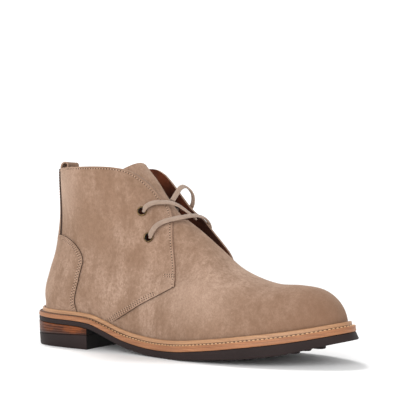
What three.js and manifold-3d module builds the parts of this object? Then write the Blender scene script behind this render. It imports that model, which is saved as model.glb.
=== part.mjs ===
// A welted chukka boot for the right foot, as an assembly of the pieces that a shoemaker puts together.
// Millimetres, +X to the toe, +Y to the inner (medial) side, +Z up, the floor at z = 0.
// While it is built, x = 0 is the back of the sole. The last lines move the origin under its middle.
import * as THREE from "three";
import { mergeVertices } from "three/addons/utils/BufferGeometryUtils.js";
import Module from "manifold-3d";

const wasm = await Module();
wasm.setup();

// Sole sizes
const SOLE_LENGTH = 306;
const BALL_WIDTH = 105;
const HEEL_LIFT = 21; // the outsole's underside over the floor, at the heel
const TOE_SPRING = 18;
const OUTSOLE_THICK = 5.6;
const MIDSOLE_THICK = 3;
const WELT_THICK = 3;
const INSOLE_RISE = 2; // top of the insole over the upper's lower edge
const EDGE_ROUND = 0.35;
const OUTSOLE_BEVEL = 1.2;
const HEEL_LENGTH = 77;
const HEEL_TAPER = 1.6;
const BREAST_RADIUS = 200;
const TOP_PIECE_BACK = 9.5; // the rubber lift under the leather stack, at its back and at its front
const TOP_PIECE_FRONT = 12.5;
const RECESS_DEPTH = 1.5;
const RECESS_RIM = 9;
const RECESS_START = 128;
const STUD_DIAMETER = 11;
const STUD_PITCH = 20;
const STUD_DROP = 1.5; // how far a stud hangs below the rim, where the toe spring leaves room
const STUD_CLEAR = 1.5; // between a stud and the rim
const STUD_ROOT = 1; // how deep a stud is moulded into the sole
const STUD_SIDES = 8;
const GAP = 0.3; // between two layers

// Welt sizes, inwards from the edge of the sole
const RIB_START = 3;
const RIB_END = 5;
const RIB_SLOPE = 0.5;
const RIB_HEIGHT = 2.6;
const WELT_REACH = 10;

// Upper sizes
const COLLAR_HEIGHT = 156.5;
const FEATHER_INSET = 6.6; // from the sole's edge in to the upper's lower edge
const BACK_LEAN = 20; // how far the top of the back seam stands before the heel
const SHAFT_WIDTH = 67;
const ANKLE_START = 4; // over the seat: from here up, the foot's width gives way to the shaft's
const ANKLE_END = 66;
const ANKLE_OPEN = 60; // the foot's own sides would close this far over the crest, behind the instep
const HEEL_SWELL = -0.8; // how far the sides swell out over the feather edge
const FORE_SWELL = 1.4;
const SWELL_WIDTH = 20; // half width under which the swell fades
const VAMP_WALL = 1.8;
const QUARTER_WALL = 2.4;
const QUARTER_STEP = 2; // the quarter's outer face over the vamp's
const QUARTER_FOOT = 0.3; // the same, at the skived lower edge
const SKIVE_START = 3;
const SKIVE_END = 14;
const QUARTER_FLARE = 10.5; // the inner quarter's free edge stands off the tongue
const THROAT_GAP = 15; // least width of the opening between the quarters, over the tongue
const COUNTER_THICK = 1;
const COUNTER_FOOT = 0.7;
const STAY_THICK = 1;
const STAY_WIDTH_TOP = 30;
const STAY_WIDTH_FOOT = 25;
const THROAT_HEIGHT = 111; // where the vamp ends and the tongue goes on
const TONGUE_DEPTH = 0.8; // the tongue's outer face under the vamp's
const TONGUE_WALL = 1.6;
const TONGUE_TUCK = 1; // how much deeper its sides lie, under the quarters
const TONGUE_TOP = 161;
const TONGUE_DROP = 14; // from the middle of its top edge to its hidden sides
const LOOP_WIDTH = 16;
const LOOP_THICK = 1.4;
const LOOP_RISE = 4.5;
const LOOP_LEG = 12;

// Eyelet sizes
const EYELET_OUTER = 9;
const EYELET_HOLE = 4.8;
const EYELET_BARREL = 6;
const EYELET_FLANGE = 0.8;
const EYELET_SIDES = 12;
const EYELET_CLEAR = 0.5; // under the flange, over the quarter's curve

// Lace sizes
const LACE_WIDTH = 4.8;
const LACE_THICK = 2;
const LACE_SIDES = 8;
const LACE_STEP = 5; // between two sections of a lace

// How finely the last is cut: rows from the feather edge to the collar, steps from heel to toe.
const LAST_ROWS = 15;
const LAST_STEPS = 22;
const SOLE_STEPS = 34; // steps along a layer of the sole
const TOP_MARGIN = 1.09; // rows run on past the collar, so that a cut makes its edge
const ROW_CROWDING = 1.25; // rows close up towards the feather edge

// Plan outline of the sole: share of the length, then half widths as shares of the ball width.
const OUTLINE = [
  { at: 0, lateral: 0, medial: 0 },
  { at: 0.02, lateral: 0.165, medial: 0.17 },
  { at: 0.07, lateral: 0.285, medial: 0.285 },
  { at: 0.14, lateral: 0.335, medial: 0.335 },
  { at: 0.25, lateral: 0.36, medial: 0.325 },
  { at: 0.4, lateral: 0.38, medial: 0.285 },
  { at: 0.52, lateral: 0.44, medial: 0.335 },
  { at: 0.63, lateral: 0.5, medial: 0.445 },
  { at: 0.73, lateral: 0.485, medial: 0.495 },
  { at: 0.83, lateral: 0.415, medial: 0.465 },
  { at: 0.91, lateral: 0.3, medial: 0.36 },
  { at: 0.97, lateral: 0.175, medial: 0.22 },
  { at: 1, lateral: 0, medial: 0 },
];

// Side profile of the sole: shares of the heel lift, of the toe spring and of the outsole's thickness.
const PROFILE = [
  { at: 0, heel: 1, toe: 0, thick: 0.72 },
  { at: 0.24, heel: 0.925, toe: 0, thick: 0.85 },
  { at: 0.3, heel: 0.64, toe: 0, thick: 0.88 },
  { at: 0.38, heel: 0.22, toe: 0, thick: 0.92 },
  { at: 0.46, heel: 0, toe: 0, thick: 0.96 },
  { at: 0.58, heel: 0, toe: 0, thick: 1.1 },
  { at: 0.66, heel: 0, toe: 0.12, thick: 1.25 },
  { at: 0.8, heel: 0, toe: 0.34, thick: 1.6 },
  { at: 0.9, heel: 0, toe: 0.62, thick: 1.58 },
  { at: 1, heel: 0, toe: 1, thick: 1.45 },
];

// Crest of the last from toe to collar, from the side: share of the length, share of the way up.
const CREST = [
  { along: 0.978, up: 0 },
  { along: 0.965, up: 0.075 },
  { along: 0.943, up: 0.141 },
  { along: 0.908, up: 0.213 },
  { along: 0.85, up: 0.263 },
  { along: 0.784, up: 0.287 },
  { along: 0.722, up: 0.332 },
  { along: 0.663, up: 0.402 },
  { along: 0.605, up: 0.519 },
  { along: 0.546, up: 0.622 },
  { along: 0.49, up: 0.701 },
  { along: 0.441, up: 0.811 },
  { along: 0.399, up: 0.924 },
  { along: 0.366, up: 0.997 },
  { along: 0.333, up: 1.081 },
];

// Back seam line: share of the way up, share of the lean.
const BACK = [
  { up: 0, lean: 0 },
  { up: 0.083, lean: 0.115 },
  { up: 0.163, lean: 0.1 },
  { up: 0.283, lean: 0.29 },
  { up: 0.411, lean: 0.555 },
  { up: 0.547, lean: 0.735 },
  { up: 0.668, lean: 0.87 },
  { up: 0.804, lean: 0.925 },
  { up: 0.924, lean: 0.95 },
  { up: 1.012, lean: 1 },
  { up: 1.108, lean: 1.04 },
];

// Half width of the shaft by height, and its plan from back seam to crest.
const SHAFT = [
  { up: 0, half: 0.47 },
  { up: 0.147, half: 0.448 },
  { up: 0.307, half: 0.425 },
  { up: 0.467, half: 0.41 },
  { up: 0.627, half: 0.422 },
  { up: 0.788, half: 0.452 },
  { up: 0.908, half: 0.482 },
  { up: 1.012, half: 0.504 },
  { up: 1.108, half: 0.519 },
];
const SHAFT_PLAN = [
  { at: 0, half: 0 },
  { at: 0.03, half: 0.34 },
  { at: 0.1, half: 0.59 },
  { at: 0.25, half: 0.87 },
  { at: 0.45, half: 1 },
  { at: 0.65, half: 0.92 },
  { at: 0.82, half: 0.7 },
  { at: 0.93, half: 0.43 },
  { at: 1, half: 0 },
];

// Roundness of the foot's sections, from the waist of the shoe to its toe.
const ROUNDNESS = [
  { at: 0.49, climb: 1.9, power: 2 },
  { at: 0.817, climb: 2.4, power: 2.25 },
];

// How far the inner quarter's free edge stands off, by height: shares of the collar's and the flare's.
const FLARE = [
  { up: 0.36, out: 0 },
  { up: 0.62, out: 0.75 },
  { up: 0.85, out: 1 },
  { up: 0.93, out: 1 },
  { up: 1.03, out: 0.4 },
];
const FLARE_START = 0.62; // shares of the shaft's depth, from the back seam
const FLARE_END = 0.97;

// Side-view edges of the panels: share of the length, share of the way up from the seat to the collar.
const OUTER_COLLAR_LINE = [
  { along: 0.2, up: 1 },
  { along: 0.284, up: 0.998 },
  { along: 0.315, up: 0.992 },
  { along: 0.35, up: 0.972 },
  { along: 0.386, up: 0.922 },
  { along: 0.412, up: 0.873 },
  { along: 0.435, up: 0.82 },
  { along: 0.461, up: 0.767 },
  { along: 0.477, up: 0.716 },
  { along: 0.49, up: 0.661 },
  { along: 0.514, up: 0.485 },
  { along: 0.539, up: 0.316 },
];
const INNER_COLLAR_LINE = [
  { along: 0.2, up: 1 },
  { along: 0.284, up: 1 },
  { along: 0.34, up: 0.998 },
  { along: 0.369, up: 0.978 },
  { along: 0.395, up: 0.94 },
  { along: 0.422, up: 0.89 },
  { along: 0.451, up: 0.825 },
  { along: 0.48, up: 0.758 },
  { along: 0.52, up: 0.678 },
  { along: 0.547, up: 0.602 },
  { along: 0.575, up: 0.519 },
  { along: 0.59, up: 0.443 },
  { along: 0.588, up: 0.374 },
  { along: 0.582, up: 0.31 },
];
const OUTER_FOOT_LINE = [
  { along: 0.493, up: 0.269 },
  { along: 0.43, up: 0.197 },
  { along: 0.381, up: 0.125 },
  { along: 0.33, up: 0.035 },
  { along: 0.3, up: -0.02 },
];
const INNER_FOOT_LINE = [
  { along: 0.53, up: 0.269 },
  { along: 0.45, up: 0.197 },
  { along: 0.39, up: 0.125 },
  { along: 0.33, up: 0.035 },
  { along: 0.3, up: -0.02 },
];
const VAMP_BACK_LINE = [
  { along: 0.465, up: 1 },
  { along: 0.465, up: 0.36 },
  { along: 0.44, up: 0.29 },
  { along: 0.39, up: 0.22 },
  { along: 0.33, up: 0.15 },
  { along: 0.27, up: 0.05 },
  { along: 0.25, up: -0.1 },
];
const COUNTER_LINE = [
  { along: 0, up: 0.54 },
  { along: 0.093, up: 0.539 },
  { along: 0.129, up: 0.527 },
  { along: 0.172, up: 0.486 },
  { along: 0.202, up: 0.427 },
  { along: 0.215, up: 0.368 },
  { along: 0.211, up: 0.322 },
  { along: 0.202, up: 0.23 },
  { along: 0.195, up: 0.122 },
  { along: 0.196, up: 0.069 },
  { along: 0.206, up: 0 },
  { along: 0.215, up: -0.05 },
];
const EYELETS = [
  { name: "outer_upper", side: "lateral", along: 0.407, up: 0.727 },
  { name: "outer_lower", side: "lateral", along: 0.436, up: 0.58 },
  { name: "inner_upper", side: "medial", along: 0.407, up: 0.727 },
  { name: "inner_lower", side: "medial", along: 0.436, up: 0.58 },
];
const SIDE_SIGN = { lateral: -1, medial: 1 };

// Smooth step from 0 to 1 between two values.
function ease(from, to, value) {
  const t = Math.min(1, Math.max(0, (value - from) / (to - from)));
  return t * t * (3 - 2 * t);
}

// Angle of a share along a round-ended form: shares close up towards both ends.
function turn(share) {
  return Math.acos(1 - 2 * Math.min(1, Math.max(0, share)));
}

// Share along a round-ended form at step i of n.
function roundShare(i, n) {
  return (1 - Math.cos((Math.PI * i) / n)) / 2;
}

// Smooth value of a table's column at t, where place gives a row's own t (a cubic that never overshoots).
function smooth(rows, place, column, t) {
  const last = rows.length - 1;
  const at = (i) => place(rows[i]);
  const rise = (i) => (rows[i + 1][column] - rows[i][column]) / (at(i + 1) - at(i));
  const slope = (i) => {
    if (i === 0) return rise(0);
    if (i === last) return rise(last - 1);
    const before = at(i) - at(i - 1);
    const after = at(i + 1) - at(i);
    if (rise(i - 1) * rise(i) <= 0) return 0;
    return (rise(i - 1) * after + rise(i) * before) / (before + after);
  };
  let i = 0;
  while (i < last - 1 && t > at(i + 1)) i += 1;
  const h = at(i + 1) - at(i);
  const u = Math.min(1, Math.max(0, (t - at(i)) / h));
  const v = 1 - u;
  const from = rows[i][column] * (1 + 2 * u) * v * v + slope(i) * h * u * v * v;
  const to = rows[i + 1][column] * u * u * (3 - 2 * u) - slope(i + 1) * h * u * u * v;
  return from + to;
}

// Value at t on a line of points, along one axis of theirs that only grows.
function along(points, axis, other, t) {
  let i = 0;
  while (i < points.length - 2 && t > points[i + 1][axis]) i += 1;
  const a = points[i];
  const b = points[i + 1];
  const u = Math.min(1, Math.max(0, (t - a[axis]) / (b[axis] - a[axis])));
  return a[other] + (b[other] - a[other]) * u;
}

// Sole heights over the floor at x
const soleShare = (x) => Math.min(1, Math.max(0, x / SOLE_LENGTH));
const profile = (x, column) => smooth(PROFILE, (row) => row.at, column, soleShare(x));
const undersideHeight = (x) => HEEL_LIFT * profile(x, "heel") + TOE_SPRING * profile(x, "toe");
const outsoleTop = (x) => undersideHeight(x) + OUTSOLE_THICK * profile(x, "thick");
const midsoleTop = (x) => outsoleTop(x) + GAP + MIDSOLE_THICK;
const weltTop = (x) => midsoleTop(x) + WELT_THICK;
const seatHeight = (x) => weltTop(x) + GAP;
const topPieceHeight = (x) => TOP_PIECE_BACK + (TOP_PIECE_FRONT - TOP_PIECE_BACK) * (x / HEEL_LENGTH);

// Height at a share of the way from the upper's seat to its collar
function level(x, up) {
  const seat = seatHeight(x);
  return seat + up * (COLLAR_HEIGHT - seat);
}

// Half width of the sole's outline at x, drawn in by an inset along its normal.
const outlineCache = new Map();
function outlineCurve(side, inset) {
  const key = `${side} ${inset}`;
  if (outlineCache.has(key)) return outlineCache.get(key);
  const samples = 120;
  const point = (angle) => ({
    x: ((1 - Math.cos(angle)) / 2) * SOLE_LENGTH,
    y: BALL_WIDTH * smooth(OUTLINE, (row) => turn(row.at), side, angle),
  });
  const curve = [];
  for (let i = 0; i <= samples; i += 1) {
    const angle = (Math.PI * i) / samples;
    const here = point(angle);
    const before = point(Math.max(0, angle - 0.01));
    const after = point(Math.min(Math.PI, angle + 0.01));
    const run = Math.hypot(after.x - before.x, after.y - before.y);
    let normal = { x: -(after.y - before.y) / run, y: (after.x - before.x) / run };
    if (i === 0) normal = { x: -1, y: 0 };
    if (i === samples) normal = { x: 1, y: 0 };
    curve.push({ x: here.x - normal.x * inset, y: Math.max(0, here.y - normal.y * inset) });
  }
  const start = curve[0].x;
  const length = curve[samples].x - start;
  const rows = curve.map((p) => ({ angle: turn((p.x - start) / length), y: p.y }));
  const half = (x) => along(rows, "angle", "y", turn((x - start) / length));
  outlineCache.set(key, half);
  return half;
}
const halfWidth = (x, side, inset) => outlineCurve(side, inset)(x);

// Closed meshes and their joins and cuts
function meshFrom(points, triangles) {
  const geometry = new THREE.BufferGeometry();
  geometry.setAttribute("position", new THREE.Float32BufferAttribute(points.flat(), 3));
  geometry.setIndex(triangles.flat());
  return geometry;
}

function toSolid(geometry) {
  const bare = geometry.clone();
  bare.deleteAttribute("normal");
  bare.deleteAttribute("uv");
  const merged = mergeVertices(bare, 1e-4);
  const mesh = new wasm.Mesh({
    numProp: 3,
    vertProperties: new Float32Array(merged.attributes.position.array),
    triVerts: new Uint32Array(merged.index.array),
  });
  return new wasm.Manifold(mesh);
}

function toGeometry(solid) {
  const mesh = solid.getMesh();
  const geometry = new THREE.BufferGeometry();
  geometry.setAttribute("position", new THREE.Float32BufferAttribute(mesh.vertProperties, 3));
  geometry.setIndex(Array.from(mesh.triVerts));
  return geometry;
}

// A closed solid between two grids of points. A ring grid closes on itself along its rows.
function solidBetween(outer, inner, ring) {
  const rows = outer.length;
  const columns = outer[0].length;
  const points = [...outer.flat(), ...inner.flat()];
  const top = rows * columns;
  const at = (i, j) => i * columns + (j % columns);
  const triangles = [];
  const quad = (a, b, c, d) => triangles.push([a, b, c], [a, c, d]);
  const spans = ring ? columns : columns - 1;
  for (let i = 0; i < rows - 1; i += 1) {
    for (let j = 0; j < spans; j += 1) {
      quad(at(i, j), at(i, j + 1), at(i + 1, j + 1), at(i + 1, j));
      quad(top + at(i, j), top + at(i + 1, j), top + at(i + 1, j + 1), top + at(i, j + 1));
    }
  }
  for (let j = 0; j < spans; j += 1) {
    quad(at(0, j), top + at(0, j), top + at(0, j + 1), at(0, j + 1));
    const i = rows - 1;
    quad(at(i, j), at(i, j + 1), top + at(i, j + 1), top + at(i, j));
  }
  if (!ring) {
    for (let i = 0; i < rows - 1; i += 1) {
      quad(at(i, 0), at(i + 1, 0), top + at(i + 1, 0), top + at(i, 0));
      const j = columns - 1;
      quad(at(i, j), top + at(i, j), top + at(i + 1, j), at(i + 1, j));
    }
  }
  return meshFrom(points, triangles);
}

// A straight bar through the boot whose section is drawn in the side view (x, z), from y1 to y2.
function sideBar(outline, y1, y2) {
  const shape = new THREE.Shape(outline.map(([x, z]) => new THREE.Vector2(x, z)));
  const bar = new THREE.ExtrudeGeometry(shape, { depth: y2 - y1, bevelEnabled: false });
  bar.rotateX(Math.PI / 2);
  bar.translate(0, y2, 0);
  return toSolid(bar);
}

// A smooth side-view line through the rows of a table.
function sideLine(rows, count) {
  const knots = rows.map((row) => {
    const x = row.along * SOLE_LENGTH;
    return new THREE.Vector3(x, 0, level(x, row.up));
  });
  const curve = new THREE.CatmullRomCurve3(knots, false, "centripetal");
  return curve.getPoints(count).map((p) => [p.x, p.z]);
}

// Stations of a sole layer: points of its rim at one inset and height, round from the back.
function rim({ inset, height, from = 0, to = SOLE_LENGTH }) {
  const start = Math.max(from, inset);
  const end = Math.min(to, SOLE_LENGTH - inset);
  const whole = SOLE_LENGTH - 2 * inset;
  const first = turn((start - inset) / whole);
  const last = turn((end - inset) / whole);
  const steps = Math.max(6, Math.ceil((SOLE_STEPS * (last - first)) / Math.PI));
  const outer = [];
  const inner = [];
  for (let i = 0; i <= steps; i += 1) {
    const x = inset + (whole * (1 - Math.cos(first + ((last - first) * i) / steps))) / 2;
    outer.push([x, -halfWidth(x, "lateral", inset), height(x)]);
    inner.push([x, halfWidth(x, "medial", inset), height(x)]);
  }
  return { outer, inner, openBack: start > inset, openFront: end < SOLE_LENGTH - inset };
}

// A layer of the sole, stacked from rims, its lowest one first.
function layer(rims) {
  const rings = rims.map((one) => rim(one));
  const steps = rings[0].outer.length - 1;
  const { openBack, openFront } = rings[0];
  const loops = rings.map(({ outer, inner }) => {
    const back = inner.slice(openBack ? 0 : 1, openFront ? steps + 1 : steps).reverse();
    return [...outer, ...back];
  });
  const size = loops[0].length;
  const points = loops.flat();
  const triangles = [];
  for (let i = 0; i < loops.length - 1; i += 1) {
    for (let j = 0; j < size; j += 1) {
      const next = (j + 1) % size;
      const low = i * size;
      const high = (i + 1) * size;
      triangles.push([low + j, low + next, high + next], [low + j, high + next, high + j]);
    }
  }
  const partner = (i) => {
    if (!openBack && i === 0) return 0;
    if (!openFront && i === steps) return steps;
    return size - i - (openBack ? 1 : 0);
  };
  const top = (loops.length - 1) * size;
  for (let i = 0; i < steps; i += 1) {
    const [a, b, c, d] = [i, i + 1, partner(i + 1), partner(i)];
    if (b !== c) {
      triangles.push([a, c, b], [top + a, top + b, top + c]);
    }
    if (a !== d) {
      triangles.push([a, d, c], [top + a, top + c, top + d]);
    }
  }
  return meshFrom(points, triangles);
}

// A plain block between two corners
function block(low, high) {
  const box = new THREE.Box3(new THREE.Vector3(...low), new THREE.Vector3(...high));
  const size = box.getSize(new THREE.Vector3());
  const middle = box.getCenter(new THREE.Vector3());
  const geometry = new THREE.BoxGeometry(size.x, size.y, size.z);
  geometry.translate(middle.x, middle.y, middle.z);
  return toSolid(geometry);
}

// Places of the studs under the forefoot, staggered in rows that stay clear of the rim.
function studPlaces() {
  const places = [];
  const clear = RECESS_RIM + STUD_DIAMETER / 2 + STUD_CLEAR;
  const first = RECESS_START + STUD_DIAMETER;
  const across = Math.ceil(BALL_WIDTH / (2 * STUD_PITCH));
  let row = 0;
  for (let x = first; x < SOLE_LENGTH - clear; x += (STUD_PITCH * Math.sqrt(3)) / 2) {
    const shift = (row % 2) * (STUD_PITCH / 2);
    for (let n = -across; n <= across; n += 1) {
      const y = n * STUD_PITCH + shift;
      const room = halfWidth(x, y < 0 ? "lateral" : "medial", clear);
      if (Math.abs(y) < room) places.push([x, y]);
    }
    row += 1;
  }
  return places;
}

function makeOutsole() {
  const slab = toSolid(
    layer([
      { inset: OUTSOLE_BEVEL, height: undersideHeight },
      { inset: EDGE_ROUND, height: (x) => undersideHeight(x) + OUTSOLE_BEVEL },
      { inset: EDGE_ROUND, height: outsoleTop },
    ]),
  );
  const recess = toSolid(
    layer([
      { inset: RECESS_RIM, height: (x) => undersideHeight(x) - 2 * RECESS_DEPTH, from: RECESS_START },
      { inset: RECESS_RIM, height: (x) => undersideHeight(x) + RECESS_DEPTH, from: RECESS_START },
    ]),
  );
  let sole = slab.subtract(recess);
  for (const [x, y] of studPlaces()) {
    const low = Math.max(0, undersideHeight(x) - STUD_DROP);
    const high = undersideHeight(x) + RECESS_DEPTH + STUD_ROOT;
    const radius = STUD_DIAMETER / 2;
    const stud = new THREE.CylinderGeometry(radius, radius, high - low, STUD_SIDES);
    stud.rotateX(Math.PI / 2);
    stud.translate(x, y, (low + high) / 2);
    sole = sole.add(toSolid(stud));
  }
  return toGeometry(sole);
}

// The hollow curve of the heel's front face.
function cutBreast(geometry) {
  const cutter = new THREE.CylinderGeometry(BREAST_RADIUS, BREAST_RADIUS, 4 * HEEL_LIFT, 180);
  cutter.rotateX(Math.PI / 2);
  const middle = halfWidth(HEEL_LENGTH, "lateral", 0);
  const sag = BREAST_RADIUS - Math.sqrt(BREAST_RADIUS ** 2 - middle ** 2);
  cutter.translate(HEEL_LENGTH - sag + BREAST_RADIUS, 0, HEEL_LIFT);
  return toGeometry(toSolid(geometry).subtract(toSolid(cutter)));
}

function makeTopPiece() {
  const block = layer([
    { inset: HEEL_TAPER, height: () => 0, to: HEEL_LENGTH },
    { inset: HEEL_TAPER / 2, height: topPieceHeight, to: HEEL_LENGTH },
  ]);
  return cutBreast(block);
}

function makeStack() {
  const block = layer([
    { inset: HEEL_TAPER / 2, height: (x) => topPieceHeight(x) + GAP, to: HEEL_LENGTH },
    { inset: EDGE_ROUND, height: (x) => undersideHeight(x) - GAP, to: HEEL_LENGTH },
  ]);
  return cutBreast(block);
}

function makeMidsole() {
  return layer([
    { inset: EDGE_ROUND, height: (x) => outsoleTop(x) + GAP },
    { inset: 0, height: (x) => outsoleTop(x) + GAP + MIDSOLE_THICK / 2 },
    { inset: EDGE_ROUND, height: midsoleTop },
  ]);
}

// The welt: a flat shelf for the stitches, and a storm rib that stands against the upper.
function makeWelt() {
  const section = [
    { inset: EDGE_ROUND, height: (x) => midsoleTop(x) + GAP },
    { inset: EDGE_ROUND, height: weltTop },
    { inset: RIB_START, height: weltTop },
    { inset: RIB_START + RIB_SLOPE, height: (x) => weltTop(x) + RIB_HEIGHT },
    { inset: RIB_END, height: (x) => weltTop(x) + RIB_HEIGHT },
    { inset: RIB_END, height: weltTop },
    { inset: WELT_REACH, height: weltTop },
    { inset: WELT_REACH, height: (x) => midsoleTop(x) + 2 * GAP },
  ];
  const rings = section.map((one) => {
    const { outer, inner } = rim(one);
    return [...outer, ...inner.slice(1, -1).reverse()];
  });
  const size = rings[0].length;
  const triangles = [];
  for (let i = 0; i < rings.length; i += 1) {
    const here = i * size;
    const there = ((i + 1) % rings.length) * size;
    for (let j = 0; j < size; j += 1) {
      const next = (j + 1) % size;
      triangles.push([here + j, here + next, there + next], [here + j, there + next, there + j]);
    }
  }
  return meshFrom(rings.flat(), triangles);
}

function makeInsole() {
  return layer([
    { inset: WELT_REACH + 2 * GAP, height: (x) => midsoleTop(x) + 2 * GAP },
    { inset: WELT_REACH + 2 * GAP, height: (x) => seatHeight(x) + INSOLE_RISE },
  ]);
}

// The last: a side-view field of half widths between the back seam line and the crest.
const crestLine = sideLine(CREST, 180).map(([x, z]) => ({ x, z }));
const crestAlong = [...crestLine].reverse();
const backKnots = BACK.map((row) => {
  const x = FEATHER_INSET + row.lean * BACK_LEAN;
  return new THREE.Vector3(x, 0, level(FEATHER_INSET, row.up));
});
const backLine = new THREE.CatmullRomCurve3(backKnots, false, "centripetal")
  .getPoints(120)
  .map((p) => ({ x: p.x, z: p.z }));
const crestHeight = (x) => along(crestAlong, "x", "z", x);
const crestAt = (z) => along(crestLine, "z", "x", z);
const backAt = (z) => along(backLine, "z", "x", z);
const crestRun = [0];
for (let i = 1; i < crestLine.length; i += 1) {
  const a = crestLine[i - 1];
  const b = crestLine[i];
  crestRun.push(crestRun[i - 1] + Math.hypot(b.x - a.x, b.z - a.z));
}
const crestSteps = crestLine.map((p, i) => ({ ...p, run: crestRun[i] / crestRun[crestRun.length - 1] }));

// Half width of the foot below the ankle: full at the feather edge, closing over to the crest.
function footHalf(x, z, side) {
  const share = x / SOLE_LENGTH;
  const back = backAt(z);
  const lean = (back - FEATHER_INSET) * (1 - ease(0, 0.39, (x - back) / SOLE_LENGTH));
  const width = halfWidth(x - lean, side, FEATHER_INSET);
  const seat = seatHeight(x);
  const open = ANKLE_OPEN * (1 - ease(0.386, 0.49, share));
  const height = Math.max(0.001, crestHeight(x) + open - seat);
  const up = Math.min(1, Math.max(0, (z - seat) / height));
  const climb = smooth(ROUNDNESS, (row) => row.at, "climb", share);
  const power = smooth(ROUNDNESS, (row) => row.at, "power", share);
  const round = (1 - up ** climb) ** (1 / power);
  const most = HEEL_SWELL + (FORE_SWELL - HEEL_SWELL) * ease(0.13, 0.39, share);
  const swell = most * ease(0, 0.22, up) * (1 - ease(0.3, 0.85, up));
  return width * round + swell * Math.min(1, width / SWELL_WIDTH);
}

function shaftHalf(x, z) {
  const back = backAt(z);
  const share = (x - back) / (crestAt(z) - back);
  const up = (z - seatHeight(FEATHER_INSET)) / (COLLAR_HEIGHT - seatHeight(FEATHER_INSET));
  const half = SHAFT_WIDTH * smooth(SHAFT, (row) => row.up, "half", Math.max(0, up));
  return half * smooth(SHAFT_PLAN, (row) => turn(row.at), "half", turn(share));
}

function lastHalf(x, z, side) {
  const rise = ease(ANKLE_START, ANKLE_END, z - seatHeight(x));
  const share = rise * (1 - ease(0.441, 0.703, x / SOLE_LENGTH));
  if (share === 0) return footHalf(x, z, side);
  return (1 - share) * footHalf(x, z, side) + share * shaftHalf(x, z);
}

// One row of the last at share k from the feather edge to above the collar, round from the back seam.
function lastRow(k) {
  const low = backLine[0].z;
  const high = low + (COLLAR_HEIGHT - low) * TOP_MARGIN;
  const backZ = low + (high - low) * k;
  const backX = backAt(backZ);
  const frontX = along(crestSteps, "run", "x", k);
  const frontZ = along(crestSteps, "run", "z", k);
  const place = (i) => {
    const share = roundShare(i, LAST_STEPS);
    const x = backX + (frontX - backX) * share;
    const chord = seatHeight(backX) + (seatHeight(frontX) - seatHeight(backX)) * share;
    const bend = (seatHeight(x) - chord) * (1 - k) ** 2;
    const z = backZ + (frontZ - backZ) * share + bend;
    return { share, x, z: k === 0 ? seatHeight(x) : Math.min(z, crestHeight(x)) };
  };
  const point = (i, side) => {
    const { share, x, z } = place(i);
    const tip = i === 0 || i === LAST_STEPS;
    const half = k === 0 ? halfWidth(x, side, FEATHER_INSET) : lastHalf(x, z, side);
    return { x, y: tip ? 0 : SIDE_SIGN[side] * half, z, side, share };
  };
  const row = [];
  for (let i = 0; i <= LAST_STEPS; i += 1) row.push(point(i, "lateral"));
  for (let i = LAST_STEPS - 1; i > 0; i -= 1) row.push(point(i, "medial"));
  return row;
}

const vector = (p) => new THREE.Vector3(p.x, p.y, p.z);
const UP = new THREE.Vector3(0, 0, 1);

// Gives each point of a grid its outward normal, from its neighbours.
function withNormals(grid, ring) {
  const rows = grid.length;
  const columns = grid[0].length;
  return grid.map((row, i) =>
    row.map((point, j) => {
      const left = ring ? (j + columns - 1) % columns : Math.max(0, j - 1);
      const right = ring ? (j + 1) % columns : Math.min(columns - 1, j + 1);
      const across = vector(row[right]).sub(vector(row[left]));
      const upper = vector(grid[Math.min(rows - 1, i + 1)][j]);
      const climb = upper.sub(vector(grid[Math.max(0, i - 1)][j]));
      return { ...point, normal: across.cross(climb).normalize() };
    }),
  );
}

// The grid moved out along its normals by the distance that offset gives for a point.
function offsetGrid(grid, offset) {
  return grid.map((row) =>
    row.map((point) => {
      const moved = vector(point).addScaledVector(point.normal, offset(point));
      return [moved.x, moved.y, moved.z];
    }),
  );
}

const lastRows = [];
for (let i = 0; i < LAST_ROWS; i += 1) lastRows.push(lastRow((i / (LAST_ROWS - 1)) ** ROW_CROWDING));
const last = withNormals(lastRows, true);

// Outward offsets of the panels' faces. The pieces are thinned at their lower edge, where the rib is.
const clearOfFeather = (p) => ease(SKIVE_START, SKIVE_END, p.z - seatHeight(p.x));
function flare(p) {
  if (p.side === "lateral") return 0;
  const out = smooth(FLARE, (row) => row.up, "out", p.z / COLLAR_HEIGHT);
  return QUARTER_FLARE * out * ease(FLARE_START, FLARE_END, p.share);
}
const quarterFace = (p) => QUARTER_FOOT + (QUARTER_STEP - QUARTER_FOOT) * clearOfFeather(p) + flare(p);
const overlayFoot = (p) => quarterFace(p) + GAP;
const counterThick = (p) => COUNTER_FOOT + (COUNTER_THICK - COUNTER_FOOT) * clearOfFeather(p);

// A panel of the upper all round the last, trimmed level where it stands on the welt.
const underSeat = toSolid(
  layer([
    { inset: RIB_END, height: undersideHeight },
    { inset: RIB_END, height: seatHeight },
  ]),
);
function shell(face, thickness) {
  const outer = offsetGrid(last, face);
  const inner = offsetGrid(last, (p) => face(p) - thickness(p));
  return toSolid(solidBetween(outer, inner, true)).subtract(underSeat);
}

const FAR = 2 * SOLE_LENGTH; // beyond the boot on every side, for cutting bars
const INSTEP_START = 0.3 * SOLE_LENGTH; // behind the throat, inside the shaft

function quarterBar(collarLine, footLine, y1, y2) {
  const collar = sideLine(collarLine, 36).reverse();
  const foot = sideLine(footLine, 12).reverse();
  const below = [foot[0][0], -FAR];
  return sideBar([[-FAR, -FAR], below, ...foot, ...collar, [-FAR, COLLAR_HEIGHT]], y1, y2);
}

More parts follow.
